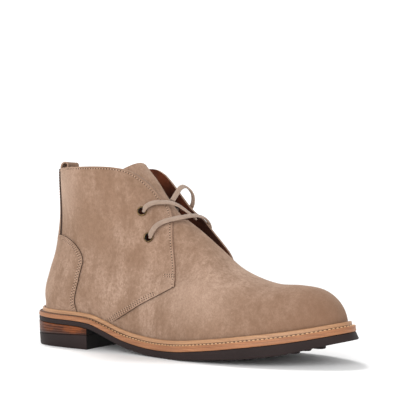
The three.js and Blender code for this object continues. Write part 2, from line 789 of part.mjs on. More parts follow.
// A point of the quarter's outer face, from its place in the side view.
function facePoint(x, z, side) {
  const sign = SIDE_SIGN[side];
  const step = 0.5;
  const slopeX = (lastHalf(x + step, z, side) - lastHalf(x - step, z, side)) / (2 * step);
  const slopeZ = (lastHalf(x, z + step, side) - lastHalf(x, z - step, side)) / (2 * step);
  const normal = new THREE.Vector3(-slopeX, sign, -slopeZ).normalize();
  const back = backAt(z);
  const place = { x, y: sign * lastHalf(x, z, side), z, side, share: (x - back) / (crestAt(z) - back) };
  return vector(place).addScaledVector(normal, quarterFace(place));
}

// Eyelet seats: a point of the quarter's outer face and the direction that it faces there.
function eyeletSeat({ side, along: share, up }) {
  const x = share * SOLE_LENGTH;
  const z = level(x, up);
  const reach = EYELET_OUTER / 2;
  const run = facePoint(x + reach, z, side).sub(facePoint(x - reach, z, side));
  const rise = facePoint(x, z + reach, side).sub(facePoint(x, z - reach, side));
  const normal = run.cross(rise).multiplyScalar(-SIDE_SIGN[side]).normalize();
  return { centre: facePoint(x, z, side), normal };
}

// Turns a geometry that stands on the XZ plane along +Y into a seat's direction.
function seatAt(geometry, { centre, normal }) {
  const toNormal = new THREE.Quaternion().setFromUnitVectors(new THREE.Vector3(0, 1, 0), normal);
  geometry.applyQuaternion(toNormal);
  geometry.translate(centre.x, centre.y, centre.z);
  return geometry;
}

function makeUpper() {
  const outerBar = quarterBar(OUTER_COLLAR_LINE, OUTER_FOOT_LINE, -FAR, 0);
  const innerBar = quarterBar(INNER_COLLAR_LINE, INNER_FOOT_LINE, 0, FAR);
  let quarters = shell(quarterFace, () => QUARTER_WALL).intersect(outerBar.add(innerBar));
  const slot = block([INSTEP_START, -THROAT_GAP / 2, HEEL_LIFT], [FAR, THROAT_GAP / 2, FAR]);
  quarters = quarters.subtract(slot);
  for (const eyelet of EYELETS) {
    const radius = EYELET_BARREL / 2 + GAP;
    const drill = new THREE.CylinderGeometry(radius, radius, 8 * QUARTER_WALL, EYELET_SIDES);
    quarters = quarters.subtract(toSolid(seatAt(drill, eyeletSeat(eyelet))));
  }
  const back = sideLine(VAMP_BACK_LINE, 24);
  const throat = [back[0][0], THROAT_HEIGHT];
  const below = back.filter(([, z]) => z < THROAT_HEIGHT);
  const vampOutline = [throat, ...below, [below.at(-1)[0], -FAR], [FAR, -FAR], [FAR, THROAT_HEIGHT]];
  const vamp = shell(() => 0, () => VAMP_WALL).intersect(sideBar(vampOutline, -FAR, FAR));
  return toGeometry(quarters.add(vamp));
}

// Everything that lies in or under the counter's outline from the side, drawn a little larger by rise.
function counterBar(rise) {
  const line = sideLine(COUNTER_LINE, 30).map(([x, z]) => [x, z + rise]);
  const foot = [line.at(-1)[0], -FAR];
  return sideBar([[-FAR, -FAR], foot, ...line.reverse(), [-FAR, line.at(-1)[1]]], -FAR, FAR);
}

function makeCounter() {
  const band = shell((p) => overlayFoot(p) + counterThick(p), counterThick);
  return toGeometry(band.intersect(counterBar(0)));
}

// The strip over the back seam, from the counter up to the collar.
function makeStay() {
  const band = shell((p) => overlayFoot(p) + STAY_THICK, () => STAY_THICK);
  const low = level(0, COUNTER_LINE[0].up) - COUNTER_THICK;
  const outline = new THREE.Shape([
    new THREE.Vector2(-STAY_WIDTH_FOOT / 2, low),
    new THREE.Vector2(STAY_WIDTH_FOOT / 2, low),
    new THREE.Vector2(STAY_WIDTH_TOP / 2, COLLAR_HEIGHT),
    new THREE.Vector2(-STAY_WIDTH_TOP / 2, COLLAR_HEIGHT),
  ]);
  const bar = new THREE.ExtrudeGeometry(outline, { depth: FAR + INSTEP_START, bevelEnabled: false });
  bar.rotateX(Math.PI / 2);
  bar.rotateZ(Math.PI / 2);
  bar.translate(-FAR, 0, 0);
  return toGeometry(band.intersect(toSolid(bar)).subtract(counterBar(GAP)));
}

// A point of the last at a height and a share from the back seam to the crest, on one side.
function lastPoint(share, z, side) {
  const back = backAt(z);
  const x = back + (crestAt(z) - back) * share;
  const y = share <= 0 || share >= 1 ? 0 : SIDE_SIGN[side] * lastHalf(x, z, side);
  return { x, y, z, side, share };
}

// The tongue goes on from the vamp, under both quarters, to a round top edge.
function makeTongue() {
  const rows = 6;
  const columns = 14;
  const hidden = 0.3; // share of the shaft's depth that each side reaches back under the quarter
  const low = THROAT_HEIGHT - 4 * TONGUE_WALL; // it is cut off level at the throat
  const grid = [];
  for (let i = 0; i <= rows; i += 1) {
    const row = [];
    for (let j = 0; j <= columns; j += 1) {
      const u = (2 * j) / columns - 1;
      const top = TONGUE_TOP - TONGUE_DROP * u * u;
      const z = low + ((top - low) * i) / rows;
      row.push(lastPoint(1 - hidden * u * u, z, u <= 0 ? "lateral" : "medial"));
    }
    grid.push(row);
  }
  const faces = withNormals(grid, false);
  const depth = (p) => TONGUE_DEPTH + TONGUE_TUCK * Math.sqrt((1 - p.share) / hidden);
  const outer = offsetGrid(faces, (p) => -depth(p));
  const inner = offsetGrid(faces, (p) => -depth(p) - TONGUE_WALL);
  const sheet = toSolid(solidBetween(outer, inner, false));
  const aboveThroat = block([-FAR, -FAR, THROAT_HEIGHT + GAP], [FAR, FAR, FAR]);
  return toGeometry(sheet.intersect(aboveThroat));
}

// The pull loop: a strip that goes up the back stay, over the collar and down inside.
function makeLoop() {
  const outside = QUARTER_STEP + GAP + STAY_THICK + GAP + LOOP_THICK / 2;
  const inside = QUARTER_STEP - QUARTER_WALL - GAP - LOOP_THICK / 2;
  const middle = (outside + inside) / 2;
  const reach = (outside - inside) / 2;
  const path = [];
  for (let i = 0; i <= 2; i += 1) path.push([COLLAR_HEIGHT - LOOP_LEG * (1 - i / 2), outside]);
  const bendSteps = 6;
  for (let i = 1; i < bendSteps; i += 1) {
    const angle = (Math.PI * i) / bendSteps;
    path.push([COLLAR_HEIGHT + LOOP_RISE * Math.sin(angle), middle + reach * Math.cos(angle)]);
  }
  for (let i = 0; i <= 2; i += 1) path.push([COLLAR_HEIGHT - (LOOP_LEG * i) / 2, inside]);
  const columns = 4;
  const grid = path.map(([z, offset]) => {
    const row = [];
    for (let j = 0; j <= columns; j += 1) {
      const across = LOOP_WIDTH * (j / columns - 0.5);
      row.push(backPoint(across, z, offset));
    }
    return row;
  });
  const faces = withNormals(grid, false);
  const outer = offsetGrid(faces, () => LOOP_THICK / 2);
  const inner = offsetGrid(faces, () => -LOOP_THICK / 2);
  return solidBetween(outer, inner, false);
}

// A point that stands off the back of the shaft, at a distance across from the back seam.
function backPoint(across, z, offset) {
  const side = across > 0 ? "medial" : "lateral";
  const wanted = Math.abs(across);
  let low = 0;
  let high = 0.4;
  for (let i = 0; i < 30; i += 1) {
    const middle = (low + high) / 2;
    if (Math.abs(lastPoint(middle, z, side).y) < wanted) low = middle;
    else high = middle;
  }
  const x = lastPoint(low, z, side).x;
  const bend = wanted / (SHAFT_WIDTH / 2);
  return { x: x - offset * Math.sqrt(1 - bend * bend), y: across * (1 + offset / SHAFT_WIDTH), z };
}

// An eyelet: a rolled flange on the quarter's face and a barrel through its wall.
function makeEyelet(seat) {
  const hole = EYELET_HOLE / 2;
  const barrel = EYELET_BARREL / 2;
  const outer = EYELET_OUTER / 2;
  const profileLine = [
    [hole, -QUARTER_WALL],
    [barrel, -QUARTER_WALL],
    [barrel, EYELET_CLEAR],
    [outer, EYELET_CLEAR],
    [outer, EYELET_CLEAR + EYELET_FLANGE / 2],
    [outer - EYELET_FLANGE, EYELET_CLEAR + EYELET_FLANGE],
    [hole + EYELET_FLANGE / 2, EYELET_CLEAR + EYELET_FLANGE],
    [hole, EYELET_CLEAR + EYELET_FLANGE / 2],
    [hole, -QUARTER_WALL],
  ];
  const points = profileLine.map(([radius, height]) => new THREE.Vector2(radius, height));
  return seatAt(new THREE.LatheGeometry(points, EYELET_SIDES), seat);
}

// Routes of the flat lace, each point chosen by hand. Each eyelet is passed once.
const UPPER_BAR = [
  [125.9, -24, 117.9],
  [128.4, -25.1, 121.2],
  [130.5, -22.7, 123.4],
  [133.9, -18.8, 125.1],
  [137.7, -15.4, 125.6],
  [143.7, -9, 125.4],
  [148.2, -4, 123.2],
  [152.8, -0.5, 119.4],
  [157, 1, 116],
  [159.5, 4, 113.4],
  [158.4, 7, 112.2],
];
const LOWER_BAR = [
  [135, -27.6, 96.2],
  [136.9, -29.2, 99.5],
  [138.4, -28, 102.2],
  [141, -25.5, 105.8],
  [144.8, -22, 108.9],
  [149.6, -17.9, 111],
  [154.4, -13.4, 112.4],
  [158.2, -8, 113.6],
  [160.4, -2, 114.4],
  [161.2, 4.3, 114.6],
  [161.5, 10, 113.9],
  [162.2, 15, 112.8],
  [163, 20.5, 109.3],
  [161.6, 25.5, 104.6],
  [156.5, 29.5, 100.5],
  [149, 31.8, 98],
  [140, 32.6, 96.6],
  [135.6, 30.9, 96.5],
];
const LOOP_ROUTE = [
  [143.6, -5.8, 127.2],
  [143.9, -2.6, 130.4],
  [144.6, 0.8, 134.6],
  [144.7, 5, 138.2],
  [144.4, 12, 139.6],
  [145, 18, 137.4],
  [145.3, 22.5, 133.4],
  [143.8, 26, 129.6],
  [141.5, 29, 125.6],
  [137.5, 32, 121.8],
  [132.6, 33.2, 119.8],
  [129.2, 31.2, 119.9],
];

// A flat lace along a route, its thin side turned towards a direction at the start.
function lace(route, outward) {
  const points = route.map((p) => new THREE.Vector3(...p));
  const path = new THREE.CatmullRomCurve3(points, false, "centripetal");
  const steps = Math.ceil(path.getLength() / LACE_STEP);
  const { normals, binormals } = path.computeFrenetFrames(steps, false);
  const lean = Math.atan2(binormals[0].dot(outward), normals[0].dot(outward));
  const section = [];
  for (let i = 0; i < LACE_SIDES; i += 1) {
    const angle = (2 * Math.PI * (i + 0.5)) / LACE_SIDES;
    const thin = (LACE_THICK / 2) * Math.cos(angle);
    const wide = (LACE_WIDTH / 2) * Math.sin(angle);
    const x = thin * Math.cos(lean) - wide * Math.sin(lean);
    const y = thin * Math.sin(lean) + wide * Math.cos(lean);
    section.push(new THREE.Vector2(x, y));
  }
  return new THREE.ExtrudeGeometry(new THREE.Shape(section), { steps, extrudePath: path });
}

// The two bars cross over the throat, where the lower one holds down the end of the upper one.
function makeLaces() {
  const [upperSeat, lowerSeat] = EYELETS.map(eyeletSeat);
  const upper = toSolid(lace(UPPER_BAR, upperSeat.normal.cross(UP)));
  const lower = toSolid(lace(LOWER_BAR, lowerSeat.normal.cross(UP)));
  return toGeometry(upper.add(lower));
}

// Materials of the pieces
const SUEDE = { color: 0xb59880, roughness: 0.95, metalness: 0 };
const STACK_LEATHER = { color: 0x6b3a22, roughness: 0.5, metalness: 0 };
const RUBBER = { color: 0x2b2322, roughness: 0.75, metalness: 0 };
const WELT_LEATHER = { color: 0xb98a5c, roughness: 0.6, metalness: 0 };
const LINING = { color: 0x8a5a3c, roughness: 0.8, metalness: 0 };
const BRASS = { color: 0x6f6250, roughness: 0.4, metalness: 0.9 };
const LACE = { color: 0xb7a18d, roughness: 0.85, metalness: 0 };

const boot = new THREE.Group();

function addPiece(name, geometry, look) {
  const mesh = new THREE.Mesh(geometry, new THREE.MeshStandardMaterial(look));
  mesh.name = name;
  boot.add(mesh);
  return mesh;
}

addPiece("outsole", makeOutsole(), RUBBER);
addPiece("heel_top_piece", makeTopPiece(), RUBBER);
addPiece("heel_stack", makeStack(), STACK_LEATHER);
addPiece("midsole", makeMidsole(), WELT_LEATHER);
addPiece("welt", makeWelt(), WELT_LEATHER);
addPiece("insole", makeInsole(), LINING);
addPiece("upper", makeUpper(), SUEDE);
addPiece("tongue", makeTongue(), SUEDE);
addPiece("heel_counter", makeCounter(), SUEDE);
addPiece("back_stay", makeStay(), SUEDE);
addPiece("pull_loop", makeLoop(), SUEDE);
for (const eyelet of EYELETS) {
  addPiece(`eyelet_${eyelet.name}`, makeEyelet(eyeletSeat(eyelet)), BRASS);
}

addPiece("laces", makeLaces(), LACE);
addPiece("lace_loop", lace(LOOP_ROUTE, new THREE.Vector3(1, 0, 0)), LACE);

// The origin goes under the middle of the boot, on the floor.
const bounds = new THREE.Box3().setFromObject(boot);
const centre = bounds.getCenter(new THREE.Vector3());
boot.position.set(-centre.x, -centre.y, -bounds.min.z);

export default boot;
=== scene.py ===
import math

import bpy
import numpy as np
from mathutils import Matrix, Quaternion, Vector
from mathutils.bvhtree import BVHTree


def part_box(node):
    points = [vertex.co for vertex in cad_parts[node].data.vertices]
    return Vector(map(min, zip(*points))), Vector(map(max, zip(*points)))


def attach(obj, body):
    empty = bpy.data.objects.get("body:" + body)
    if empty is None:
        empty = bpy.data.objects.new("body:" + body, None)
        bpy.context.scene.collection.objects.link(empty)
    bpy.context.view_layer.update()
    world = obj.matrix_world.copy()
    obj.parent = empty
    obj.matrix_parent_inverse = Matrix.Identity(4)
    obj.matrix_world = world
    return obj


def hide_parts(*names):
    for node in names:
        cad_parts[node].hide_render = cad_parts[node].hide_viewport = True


# A suede chukka boot for the right foot. Metres, +X to the toe, +Y to the inner side, the floor at z = 0.
# The boot's own forms are worked out from its heel, where x = 0 is the back of the sole.
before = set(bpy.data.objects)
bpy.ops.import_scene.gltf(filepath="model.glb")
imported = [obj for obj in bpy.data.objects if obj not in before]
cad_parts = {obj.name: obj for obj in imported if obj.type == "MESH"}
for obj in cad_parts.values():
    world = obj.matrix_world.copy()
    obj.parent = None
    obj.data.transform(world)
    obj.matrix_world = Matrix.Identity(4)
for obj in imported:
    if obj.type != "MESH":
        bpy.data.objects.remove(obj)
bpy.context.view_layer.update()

MM = 0.001
LATERAL, MEDIAL = 0, 1
SIGN = (-1, 1)

# Sole sizes
SOLE_LENGTH = 0.306
BALL_WIDTH = 0.105
HEEL_LIFT = 0.021
TOE_SPRING = 0.018
OUTSOLE_THICK = 0.0056
MIDSOLE_THICK = 0.0023
WELT_THICK = 0.0023
INSOLE_RISE = 0.002
EDGE_ROUND = 0.00035
OUTSOLE_BEVEL = 0.0012
HEEL_LENGTH = 0.077
HEEL_TAPER = 0.0016
BREAST_RADIUS = 0.2
TOP_PIECE_BACK = 0.0095
TOP_PIECE_FRONT = 0.0125
RECESS_DEPTH = 0.0015
RECESS_RIM = 0.009
RECESS_START = 0.128
STUD_DIAMETER = 0.011
STUD_PITCH = 0.02
STUD_DROP = 0.0007
STUD_CLEAR = 0.0015
GAP = 0.0003
RIB_START = 0.003
RIB_END = 0.005
RIB_SLOPE = 0.0005
RIB_HEIGHT = 0.0038
WELT_REACH = 0.01
TOE_JUT = 0.003
TOE_JUT_START = 0.93 * SOLE_LENGTH
TOE_LIFT = 0.0022
TOE_LIFT_START = 0.85 * SOLE_LENGTH

# Upper sizes
COLLAR_HEIGHT = 0.1565
FEATHER_INSET = 0.0066
BACK_LEAN = 0.02
SHAFT_WIDTH = 0.067
ANKLE_START = 0.004
ANKLE_END = 0.066
ANKLE_OPEN = 0.06
ANKLE_SPAN = (0.386, 0.49)
LEAN_REACH = 0.39
SHAFT_FADE = (0.441, 0.703)
HEEL_SWELL = -0.0008
FORE_SWELL = 0.0014
SWELL_WIDTH = 0.02
SWELL_SPAN = (0.13, 0.39)
SWELL_RISE = 0.22
SWELL_FALL = (0.3, 0.85)
VAMP_WALL = 0.0018
QUARTER_WALL = 0.0024
QUARTER_STEP = 0.002
QUARTER_FOOT = 0.0003
SKIVE_START = 0.003
SKIVE_END = 0.014
QUARTER_FLARE = 0.0105
FLARE_START = 0.62
FLARE_END = 0.97
THROAT_GAP = 0.015
COUNTER_THICK = 0.001
COUNTER_FOOT = 0.0007
STAY_THICK = 0.001
STAY_WIDTH_TOP = 0.035
STAY_WIDTH_FOOT = 0.032
THROAT_HEIGHT = 0.111
TONGUE_DEPTH = 0.0008
TONGUE_WALL = 0.0016
TONGUE_TUCK = 0.001
TONGUE_TOP = 0.161
TONGUE_DROP = 0.014
TONGUE_HIDDEN = 0.3
LOOP_WIDTH = 0.016
LOOP_THICK = 0.0014
LOOP_RISE = 0.0062
LOOP_BULGE = 0.0022
LOOP_LEG = 0.012
EYELET_OUTER = 0.0087
EYELET_HOLE = 0.006
EYELET_BARREL = 0.0068
EYELET_FLANGE = 0.0008
EYELET_CLEAR = 0.0005
DRILL_DEPTH = 8 * QUARTER_WALL
DRILL_RISE = 0.01
LACE_WIDTH = 0.0044
LACE_THICK = 0.0019
TOP_MARGIN = 1.09
ROW_CROWDING = 1.25
FAR = 2 * SOLE_LENGTH
INSTEP_START = 0.3 * SOLE_LENGTH

# How finely the forms are cut
LAST_ROWS = 64
LAST_STEPS = 100
SOLE_STEPS = 150
TONGUE_ROWS = 48
TONGUE_STEPS = 60

# Tables of the boot's forms, as shares of the sizes above
OUTLINE = {
    "at": (0, 0.02, 0.07, 0.14, 0.25, 0.4, 0.52, 0.63, 0.73, 0.83, 0.91, 0.97, 1),
    LATERAL: (0, 0.165, 0.285, 0.335, 0.36, 0.38, 0.44, 0.5, 0.485, 0.415, 0.3, 0.175, 0),
    MEDIAL: (0, 0.17, 0.285, 0.335, 0.325, 0.285, 0.335, 0.445, 0.495, 0.465, 0.36, 0.22, 0),
}
PROFILE = {
    "at": (0, 0.12, 0.235, 0.265, 0.3, 0.38, 0.46, 0.54, 0.66, 0.8, 0.9, 1),
    "heel": (1.03, 0.955, 0.885, 0.82, 0.65, 0.25, 0.055, 0, 0, 0, 0, 0),
    "toe": (0, 0, 0, 0, 0, 0, 0, 0, 0.12, 0.34, 0.62, 1),
    "thick": (0.72, 0.76, 0.8, 0.83, 0.86, 0.92, 0.97, 1.05, 1.25, 1.55, 1.5, 1.4),
    "welt": (0.5, 0.5, 0.52, 0.56, 0.62, 0.8, 0.95, 1, 1, 1, 1, 1),
}
CREST = {
    "along": (
        0.978, 0.965, 0.943, 0.908, 0.85, 0.784, 0.722, 0.663, 0.605, 0.546, 0.49, 0.441, 0.399, 0.366,
        0.333,
    ),
    "up": (
        0, 0.117, 0.188, 0.246, 0.28, 0.297, 0.343, 0.413, 0.527, 0.629, 0.707, 0.814, 0.925, 0.997,
        1.081,
    ),
}
BACK = {
    "up": (0, 0.083, 0.163, 0.283, 0.411, 0.547, 0.668, 0.804, 0.924, 1.012, 1.108),
    "lean": (0, 0.115, 0.1, 0.29, 0.555, 0.735, 0.87, 0.925, 0.95, 1, 1.04),
}
SHAFT = {
    "up": (0, 0.147, 0.307, 0.467, 0.627, 0.788, 0.908, 1.012, 1.108),
    "half": (0.47, 0.448, 0.425, 0.41, 0.422, 0.452, 0.482, 0.504, 0.519),
}
SHAFT_PLAN = {
    "at": (0, 0.03, 0.1, 0.25, 0.45, 0.65, 0.82, 0.93, 1),
    "half": (0, 0.34, 0.59, 0.87, 1, 0.92, 0.7, 0.43, 0),
}
ROUNDNESS = {"at": (0.49, 0.817), "climb": (1.9, 2.4), "power": (2, 2.25)}
FLARE = {"up": (0.3, 0.42, 0.62, 0.85, 0.93, 1.03), "out": (0, 0.4, 0.95, 1, 1, 0.4)}

# Side-view edges of the panels
OUTER_COLLAR_LINE = {
    "along": (0.2, 0.284, 0.315, 0.35, 0.386, 0.412, 0.435, 0.461, 0.477, 0.49, 0.514, 0.539),
    "up": (1, 0.998, 0.992, 0.972, 0.922, 0.873, 0.82, 0.767, 0.716, 0.661, 0.485, 0.316),
}
INNER_COLLAR_LINE = {
    "along": (0.2, 0.284, 0.34, 0.369, 0.395, 0.422, 0.451, 0.48, 0.52, 0.547, 0.577, 0.6, 0.606, 0.6),
    "up": (1, 1, 0.995, 0.967, 0.925, 0.874, 0.81, 0.75, 0.69, 0.624, 0.55, 0.478, 0.4, 0.31),
}
OUTER_FOOT_LINE = {"along": (0.493, 0.43, 0.381, 0.33, 0.3), "up": (0.269, 0.197, 0.125, 0.035, -0.02)}
INNER_FOOT_LINE = {"along": (0.53, 0.45, 0.39, 0.33, 0.3), "up": (0.269, 0.197, 0.125, 0.035, -0.02)}
COLLAR_LINES = (OUTER_COLLAR_LINE, INNER_COLLAR_LINE)
FOOT_LINES = (OUTER_FOOT_LINE, INNER_FOOT_LINE)
QUARTERS = ((LATERAL, "quarter_outer"), (MEDIAL, "quarter_inner"))
VAMP_BACK_LINE = {
    "along": (0.465, 0.465, 0.44, 0.39, 0.33, 0.27, 0.25),
    "up": (1, 0.36, 0.29, 0.22, 0.15, 0.05, -0.1),
}
COUNTER_LINE = {
    "along": (0, 0.093, 0.129, 0.172, 0.202, 0.215, 0.211, 0.202, 0.195, 0.196, 0.206, 0.215),
    "up": (0.54, 0.539, 0.527, 0.486, 0.427, 0.368, 0.322, 0.23, 0.122, 0.069, 0, -0.05),
}
EYELETS = {
    "eyelet_outer_upper": (LATERAL, 0.4035, 0.727),
    "eyelet_outer_lower": (LATERAL, 0.434, 0.58),
    "eyelet_inner_upper": (MEDIAL, 0.407, 0.727),
    "eyelet_inner_lower": (MEDIAL, 0.436, 0.58),
}

# The row frame's origin lies under the middle of the boot's box.
SIDE_SHIFT = 0.00026
ORIGIN = np.array([-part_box("midsole")[0].x, -SIDE_SHIFT, 0.0])


def ease(start, end, value):
    t = np.clip((value - start) / (end - start), 0, 1)
    return t * t * (3 - 2 * t)


def turn(share):
    """Angle of a share along a round-ended form."""
    return np.arccos(1 - 2 * np.clip(share, 0, 1))


def unit(vectors):
    return vectors / np.linalg.norm(vectors, axis=-1)[..., None]


def run_length(points):
    """Distance along a line of points, up to each of them."""
    return np.concatenate([[0], np.cumsum(np.linalg.norm(np.diff(points, axis=0), axis=1))])


def smooth(at, values, t):
    """Smooth value at t of a table's column (a cubic that never overshoots)."""
    at = np.asarray(at, float)
    values = np.asarray(values, float)
    step = np.diff(at)
    rise = np.diff(values) / step
    slope = np.empty(len(at))
    slope[0], slope[-1] = rise[0], rise[-1]
    mean = (rise[:-1] * step[1:] + rise[1:] * step[:-1]) / (step[:-1] + step[1:])
    slope[1:-1] = np.where(rise[:-1] * rise[1:] <= 0, 0, mean)
    t = np.asarray(t, float)
    i = np.clip(np.searchsorted(at, t, side="right") - 1, 0, len(at) - 2)
    u = np.clip((t - at[i]) / step[i], 0, 1)
    v = 1 - u
    first = values[i] * (1 + 2 * u) * v * v + slope[i] * step[i] * u * v * v
    second = values[i + 1] * u * u * (3 - 2 * u) - slope[i + 1] * step[i] * u * u * v
    return first + second


def spline(knots, count):
    """Points of a smooth curve through knots, count of them to a span."""
    p = np.asarray(knots, float)
    p = np.vstack([2 * p[0] - p[1], p, 2 * p[-1] - p[-2]])
    span = np.sqrt(np.linalg.norm(np.diff(p, axis=0), axis=1))
    u = np.linspace(0, 1, count, endpoint=False)[:, None]
    pieces = []
    for i in range(1, len(p) - 2):
        a, b, c, d = p[i - 1 : i + 3]
        before, here, after = span[i - 1 : i + 2]
        leave = ((b - a) / before - (c - a) / (before + here) + (c - b) / here) * here
        reach = ((c - b) / here - (d - b) / (here + after) + (d - c) / after) * here
        square = 3 * (c - b) - 2 * leave - reach
        cube = 2 * (b - c) + leave + reach
        pieces.append(b + leave * u + square * u**2 + cube * u**3)
    pieces.append(p[-2:-1])
    return np.vstack(pieces)


def profile(x, column):
    return smooth(PROFILE["at"], PROFILE[column], np.clip(x / SOLE_LENGTH, 0, 1))


def underside(x):
    return HEEL_LIFT * profile(x, "heel") + TOE_SPRING * profile(x, "toe")


def outsole_top(x):
    return underside(x) + OUTSOLE_THICK * profile(x, "thick")


def midsole_top(x):
    return outsole_top(x) + GAP + MIDSOLE_THICK


def welt_top(x):
    return midsole_top(x) + WELT_THICK * profile(x, "welt")


def seat(x):
    return welt_top(x) + GAP


def level(x, up):
    low = seat(x)
    return low + up * (COLLAR_HEIGHT - low)


COUNTER_TOP = float(level(0, COUNTER_LINE["up"][0]))

outline_cache = {}


def outline(side, inset):
    """Rim of the sole on one side, from back to front, drawn in by an inset: x and half width."""
    if (side, inset) not in outline_cache:
        angle = np.linspace(0, np.pi, 241)
        nudge = 0.01

        def spot(a):
            half = BALL_WIDTH * smooth(turn(np.array(OUTLINE["at"])), OUTLINE[side], a)
            return np.stack([(1 - np.cos(a)) / 2 * SOLE_LENGTH, half], 1)

        here = spot(angle)
        run = unit(spot(np.minimum(np.pi, angle + nudge)) - spot(np.maximum(0, angle - nudge)))
        normal = np.stack([-run[:, 1], run[:, 0]], 1)
        normal[0], normal[-1] = (-1, 0), (1, 0)
        here = here - normal * inset
        outline_cache[side, inset] = here[:, 0], np.maximum(0, here[:, 1])
    return outline_cache[side, inset]


def half_width(x, side, inset):
    xs, ys = outline(side, inset)
    length = xs[-1] - xs[0]
    return np.interp(turn((x - xs[0]) / length), turn((xs - xs[0]) / length), ys)


def side_line(table, count=12):
    """Smooth side-view line (x, z) through a table's points."""
    x = np.array(table["along"]) * SOLE_LENGTH
    return spline(np.stack([x, level(x, np.array(table["up"]))], 1), count)


crest_line = side_line(CREST)
back_x = FEATHER_INSET + np.array(BACK["lean"]) * BACK_LEAN
back_line = spline(np.stack([back_x, level(FEATHER_INSET, np.array(BACK["up"]))], 1), 12)
crest_run = run_length(crest_line)
crest_run /= crest_run[-1]


def crest_height(x):
    return np.interp(-x, -crest_line[:, 0], crest_line[:, 1])


def crest_at(z):
    return np.interp(z, crest_line[:, 1], crest_line[:, 0])


def back_at(z):
    return np.interp(z, back_line[:, 1], back_line[:, 0])


def share_at(x, z):
    """Share of the way from the back seam to the crest, at a height."""
    back = back_at(z)
    return (x - back) / (crest_at(z) - back)


def place_at(share, z):
    """Place along the boot at such a share."""
    back = back_at(z)
    return back + (crest_at(z) - back) * share


def foot_half(x, z, side):
    share = x / SOLE_LENGTH
    back = back_at(z)
    lean = (back - FEATHER_INSET) * (1 - ease(0, LEAN_REACH, (x - back) / SOLE_LENGTH))
    width = half_width(x - lean, side, FEATHER_INSET)
    low = seat(x)
    opened = ANKLE_OPEN * (1 - ease(*ANKLE_SPAN, share))
    up = np.clip((z - low) / np.maximum(1e-6, crest_height(x) + opened - low), 0, 1)
    climb = smooth(ROUNDNESS["at"], ROUNDNESS["climb"], share)
    power = smooth(ROUNDNESS["at"], ROUNDNESS["power"], share)
    rounded = (1 - up**climb) ** (1 / power)
    most = HEEL_SWELL + (FORE_SWELL - HEEL_SWELL) * ease(*SWELL_SPAN, share)
    swell = most * ease(0, SWELL_RISE, up) * (1 - ease(*SWELL_FALL, up))
    return width * rounded + swell * np.minimum(1, width / SWELL_WIDTH)


def shaft_half(x, z):
    share = share_at(x, z)
    low = seat(FEATHER_INSET)
    up = np.maximum(0, (z - low) / (COLLAR_HEIGHT - low))
    plan = smooth(turn(np.array(SHAFT_PLAN["at"])), SHAFT_PLAN["half"], turn(share))
    return SHAFT_WIDTH * smooth(SHAFT["up"], SHAFT["half"], up) * plan


def last_half(x, z, side):
    """Half width of the last at a place in the side view."""
    share = ease(ANKLE_START, ANKLE_END, z - seat(x)) * (1 - ease(*SHAFT_FADE, x / SOLE_LENGTH))
    return (1 - share) * foot_half(x, z, side) + share * shaft_half(x, z)


class Grid:
    """Points of the last with their outward normals, sides and shares from back seam to crest."""

    def __init__(self, points, share, side, ring):
        self.points = points
        self.share = share
        self.side = np.broadcast_to(side, share.shape)
        self.ring = ring
        if ring:
            across = np.roll(points, -1, 1) - np.roll(points, 1, 1)
        else:
            across = np.gradient(points, axis=1)
        self.normal = unit(np.cross(across, np.gradient(points, axis=0)))

    def offset(self, distance):
        return self.points + self.normal * distance[..., None]

    @property
    def rise(self):
        return self.points[..., 2] - seat(self.points[..., 0])


def last_grid(rows, steps):
    low = back_line[0, 1]
    high = low + (COLLAR_HEIGHT - low) * TOP_MARGIN
    share = (1 - np.cos(np.linspace(0, np.pi, steps + 1))) / 2
    points = np.empty((rows, 2 * steps, 3))
    for i, k in enumerate(np.linspace(0, 1, rows) ** ROW_CROWDING):
        back_z = low + (high - low) * k
        back = back_at(back_z)
        front = np.interp(k, crest_run, crest_line[:, 0])
        front_z = np.interp(k, crest_run, crest_line[:, 1])
        x = back + (front - back) * share
        chord = seat(back) + (seat(front) - seat(back)) * share
        z = back_z + (front_z - back_z) * share + (seat(x) - chord) * (1 - k) ** 2
        z = seat(x) if i == 0 else np.minimum(z, crest_height(x))
        for side in (LATERAL, MEDIAL):
            y = half_width(x, side, FEATHER_INSET) if i == 0 else last_half(x, z, side)
            y[0] = y[-1] = 0
            line = np.stack([x, SIGN[side] * y, z], 1)
            if side == LATERAL:
                points[i, : steps + 1] = line
            else:
                points[i, steps + 1 :] = line[-2:0:-1]
    shares = np.concatenate([share, share[-2:0:-1]])
    sides = np.concatenate([np.full(steps + 1, LATERAL), np.full(steps - 1, MEDIAL)])
    return Grid(points, np.broadcast_to(shares, (rows, 2 * steps)), sides, True)


def flare(share, z, side):
    out = smooth(FLARE["up"], FLARE["out"], z / COLLAR_HEIGHT)
    return np.where(side == MEDIAL, QUARTER_FLARE * out * ease(FLARE_START, FLARE_END, share), 0)


def skived(foot, full, rise):
    """A panel's thickness at a height above the welt, less towards its foot."""
    return foot + (full - foot) * ease(SKIVE_START, SKIVE_END, rise)


def quarter_face(grid):
    """How far the quarters' outer face stands off the last."""
    lap = skived(QUARTER_FOOT, QUARTER_STEP, grid.rise)
    return lap + flare(grid.share, grid.points[..., 2], grid.side)


def face_point(x, z, side):
    """Points on a quarter's outer face, from their places in the side view."""
    x = np.asarray(x, float)
    z = np.asarray(z, float)
    step = 0.0005
    slope_x = (last_half(x + step, z, side) - last_half(x - step, z, side)) / (2 * step)
    slope_z = (last_half(x, z + step, side) - last_half(x, z - step, side)) / (2 * step)
    normal = unit(np.stack([-slope_x, np.full_like(slope_x, SIGN[side]), -slope_z], -1))
    off = skived(QUARTER_FOOT, QUARTER_STEP, z - seat(x)) + flare(share_at(x, z), z, side)
    base = np.stack([x, SIGN[side] * last_half(x, z, side), z], -1)
    return base + normal * off[..., None]


# Meshes and their joins and cuts
def to_row(points):
    return np.asarray(points, float).reshape(-1, 3) - ORIGIN


